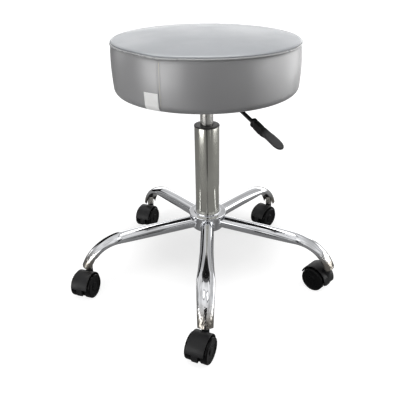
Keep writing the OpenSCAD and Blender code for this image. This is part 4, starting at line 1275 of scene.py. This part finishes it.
def tag_point(az, s, lift):
    """A point on the tag, a length s down it from its top edge."""
    flat = TAG_H - EDGE_R
    if s < flat:
        z = seat_low + TAG_H - s
        r = SEAT_R + SIDE_SWELL * math.sin(math.pi * (welt_z - z) / (SEAT_H - EDGE_R)) + lift
    else:
        r, z = fold_point((s - flat) / EDGE_R, lift)
    return outward(az) * r + Z_AXIS * z


def build_tag():
    """A small bare woven tag on the side's lower edge."""
    half = math.degrees(TAG_W / 2 / SEAT_R)
    n = TAG_COLS + 1
    length = TAG_H - EDGE_R + TAG_UNDER
    verts = [tag_point(TAG_AZ - half + 2 * half * c / TAG_COLS, length * k / TAG_ROWS, TAG_GAP)
             for k in range(TAG_ROWS + 1) for c in range(n)]
    tag = mesh_object("tag_woven", verts, skin(TAG_ROWS + 1, n, around=False), 60)
    finish_piece(walled(tag, TAG_T, 1), "seat", "tag_white", "blank_tag")
    edge = half * (1 - 2 * STITCH_IN / TAG_W)
    line = [tag_point(TAG_AZ - edge + 2 * edge * c / TAG_COLS, STITCH_IN, TAG_GAP + TAG_T) for c in range(n)]
    stitches = along_path("tag_stitches", line, False, BEADS, "tag_white",
                          Pitch=STITCH_PITCH, Size=STITCH_SIZE)
    finish_piece(stitches, "seat", "tag_white")


# The whole object

build_legs()
build_welds()
build_turned()
build_casters()
build_lever_rod()
build_grip()
build_cushion()
build_foam()
build_welt()
build_tag()


# Floor, light and camera

CAMERA_AT = (0.0, -0.9435, 0.6639)
CAMERA_YAW = -0.9
CAMERA_PITCH = 27.52
CAMERA_ROLL = -1.0
FOCAL_SHARE = 497.9 / 400
SENSOR = 36
SHIFT_X = -0.0015
SHIFT_Y = 0.0006
FLOOR_TONE = 0.38
FLOOR_GLOSSY_TONE = 0.25
FLOOR_FADE = (0.1, 0.27, 0.58, 0.82)
FLOOR_FAR = (0.5, 1.5, 0.0, 0.2)
SHADOW_BACK = 0.12
FLOOR_GLOSS = (0.7, 2.6, 0.08, 1.7)
FLOOR_HALF = 14.0
STUDIO_RAMP = [(0.0, 0.14), (0.5, 0.14), (0.56, 0.24), (0.64, 0.46), (0.74, 0.86), (1.0, 1.0)]
BACKDROP_TONES = (0.14, 0.34, 3.0, 0.72)
BACKDROP_REACH = (0.4, 0.8)
PATCH_SIZE = 2.3
PATCH_TONES = (0.4, 0.6, 0.72, 1.2)
WORLD_FILL = 0.3
WORLD_WHITE = 1.02
CARD_PARTS = 24
CARD_FADE = 0.6
LIGHT_AIM = Vector((0, 0, 0.3))

# Name, azimuth, elevation, distance, size, and power or strength
LAMPS = [
    ("top_softbox", -90, 80, 1.6, (1.6, 1.6), 16),
    ("left_softbox", -140, 20, 1.8, (0.9, 0.9), 12),
    ("right_softbox", 15, 20, 1.8, (0.9, 0.9), 18),
]
CARDS = [
    ("left_strip", -141, -2, 1.5, (1.8, 1.0), 4.8),
    ("right_strip", 2, -2, 1.5, (3.5, 1.0), 3.9),
    ("ceiling_strip", 90, 68, 1.5, (1.6, 0.9), 7.0),
    ("ceiling_left", -118, 62, 1.5, (0.34, 0.6), 3.0),
    ("ceiling_right", -66, 58, 1.5, (0.34, 0.6), 3.0),
    ("rear_dark", 132, 2, 1.5, (0.8, 0.9), 0.0),
    ("front_dark", -90, -2, 0.62, (0.09, 0.6), 0.0),
    ("camera_dark", -90, 29, 1.3, (0.4, 0.3), 0.0),
    ("front_glint", -60, -4, 1.4, (0.1, 0.3), 6.0),
]


def build_camera():
    data = bpy.data.cameras.new("photo_camera")
    data.sensor_width = SENSOR
    data.lens = SENSOR * FOCAL_SHARE
    data.shift_x = SHIFT_X
    data.shift_y = SHIFT_Y
    camera = add_object("photo_camera", data)
    turn = (Matrix.Rotation(math.radians(-CAMERA_YAW), 4, "Z")
            @ Matrix.Rotation(math.radians(90 - CAMERA_PITCH), 4, "X")
            @ Matrix.Rotation(math.radians(CAMERA_ROLL), 4, "Z"))
    camera.matrix_world = Matrix.Translation(CAMERA_AT) @ turn
    bpy.context.scene.camera = camera


def empty_sheet(owner):
    """The node tree of a material or a world, cleared but for its output."""
    owner.use_nodes = True
    sheet = Sheet(owner.node_tree)
    sheet.tree.nodes.clear()
    kind = "ShaderNodeOutputWorld" if isinstance(owner, bpy.types.World) else "ShaderNodeOutputMaterial"
    sheet.target = sheet.add(kind).inputs["Surface"]
    return sheet


def build_floor():
    """White to the camera but for a soft shadow, and darker to metal near the stool."""
    h = FLOOR_HALF
    floor = mesh_object("floor", [(-h, -h, 0), (h, -h, 0), (h, h, 0), (-h, h, 0)], [(0, 1, 2, 3)])
    mat = bpy.data.materials.new("White floor")
    sheet = empty_sheet(mat)
    path = sheet.add("ShaderNodeLightPath").outputs
    place = sheet.add("ShaderNodeTexCoord").outputs["Object"]
    tone = sheet.ranged(path["Is Glossy Ray"], (0.0, 1.0, FLOOR_TONE, FLOOR_GLOSSY_TONE), False)
    plain = sheet.add("ShaderNodeBsdfDiffuse", Color=tone)
    back = sheet.add("ShaderNodeVectorMath", place, (0, SHADOW_BACK, 0), operation="SUBTRACT")
    away = sheet.add("ShaderNodeVectorMath", back.outputs["Vector"], operation="LENGTH").outputs["Value"]
    lifted = sheet.math("ADD", sheet.ranged(away, FLOOR_FADE), sheet.ranged(away, FLOOR_FAR))
    far = sheet.ranged(sheet.add("ShaderNodeSeparateXYZ", place).outputs["Y"], FLOOR_GLOSS)
    glossy = sheet.math("MULTIPLY", path["Is Glossy Ray"], far)
    clear = sheet.math("MAXIMUM", path["Is Camera Ray"], path["Is Transmission Ray"])
    strength = sheet.math("MULTIPLY", sheet.math("MAXIMUM", clear, glossy), lifted)
    lift = sheet.add("ShaderNodeEmission", Strength=strength)
    both = sheet.add("ShaderNodeAddShader", plain.outputs[0], lift.outputs[0])
    sheet.feed(sheet.target, both.outputs[0])
    floor.data.materials.append(mat)


def build_world():
    """White to the camera, a grey studio with a bright ceiling to metal, and a plain low fill to the rest."""
    world = bpy.data.worlds.new("Studio")
    bpy.context.scene.world = world
    sheet = empty_sheet(world)
    way = sheet.add("ShaderNodeTexCoord").outputs["Generated"]
    split = sheet.add("ShaderNodeSeparateXYZ", way).outputs
    ramp = sheet.add("ShaderNodeValToRGB", sheet.ranged(split["Z"], (-1.0, 1.0, 0.0, 1.0), False))
    points = ramp.color_ramp.elements
    while len(points) < len(STUDIO_RAMP):
        points.new(0.5)
    for point, (where, tone) in zip(points, STUDIO_RAMP):
        point.position = where
        point.color = (tone, tone, tone, 1)
    behind = sheet.ranged(split["Y"], (*BACKDROP_REACH, 0.0, 1.0))
    room = sheet.mix("RGBA", behind, ramp.outputs["Color"], sheet.ranged(split["Z"], BACKDROP_TONES))
    level = sheet.ranged(sheet.noise(way, Scale=PATCH_SIZE, Detail=2.0), PATCH_TONES)
    studio, fill, white = (sheet.add("ShaderNodeBackground", Color=color, Strength=strength).outputs[0]
                           for color, strength in ((room, level), (WHITE, WORLD_FILL), (WHITE, WORLD_WHITE)))
    path = sheet.add("ShaderNodeLightPath").outputs
    glossy = sheet.add("ShaderNodeMixShader", path["Is Glossy Ray"], fill, studio)
    clear = sheet.math("MAXIMUM", path["Is Camera Ray"], path["Is Transmission Ray"])
    seen = sheet.add("ShaderNodeMixShader", clear, glossy.outputs[0], white)
    sheet.feed(sheet.target, seen.outputs[0])


def stand(azimuth_deg, elevation, distance):
    """The place of a lamp or a card round the stool, facing it."""
    e = math.radians(elevation)
    out = outward(azimuth_deg) * math.cos(e) + Z_AXIS * math.sin(e)
    turn = (-out).to_track_quat("-Z", "Y").to_matrix().to_4x4()
    return Matrix.Translation(LIGHT_AIM + out * distance) @ turn


def add_lamp(name, azimuth_deg, elevation, distance, size, power):
    data = bpy.data.lights.new(name, "AREA")
    data.shape = "RECTANGLE"
    data.size, data.size_y = size
    data.energy = power
    lamp = add_object(name, data)
    lamp.matrix_world = stand(azimuth_deg, elevation, distance)
    lamp.visible_glossy = False


def edge_fade(t):
    t = min(1.0, (1 - t) / CARD_FADE)
    return t * t * (3 - 2 * t)


def add_card(name, azimuth_deg, elevation, distance, size, strength):
    """A card that only shiny surfaces see, black or bright in its middle and fading to its edges."""
    wide, tall = size
    steps = [k / CARD_PARTS - 0.5 for k in range(CARD_PARTS + 1)]
    n = len(steps)
    verts = [(wide * x, tall * y, 0) for y in steps for x in steps]
    card = mesh_object(name, verts, skin(n, n, around=False))
    add_mask(card.data, "glow",
             lambda k, co: edge_fade(2 * abs(co.x) / wide) * edge_fade(2 * abs(co.y) / tall))
    card.data.transform(stand(azimuth_deg, elevation, distance))
    mat = bpy.data.materials.new(name)
    sheet = empty_sheet(mat)
    glow = sheet.math("MULTIPLY", sheet.mask("glow"), strength)
    light = sheet.add("ShaderNodeEmission", Color=WHITE, Strength=glow)
    sheet.feed(sheet.target, light.outputs[0])
    card.data.materials.append(mat)
    card.visible_camera = False
    card.visible_diffuse = False
    card.visible_shadow = False
    card.visible_transmission = False


build_camera()
build_floor()
build_world()
for lamp in LAMPS:
    add_lamp(*lamp)
for card in CARDS:
    add_card(*card)

view = bpy.context.scene.view_settings
view.view_transform = "Standard"
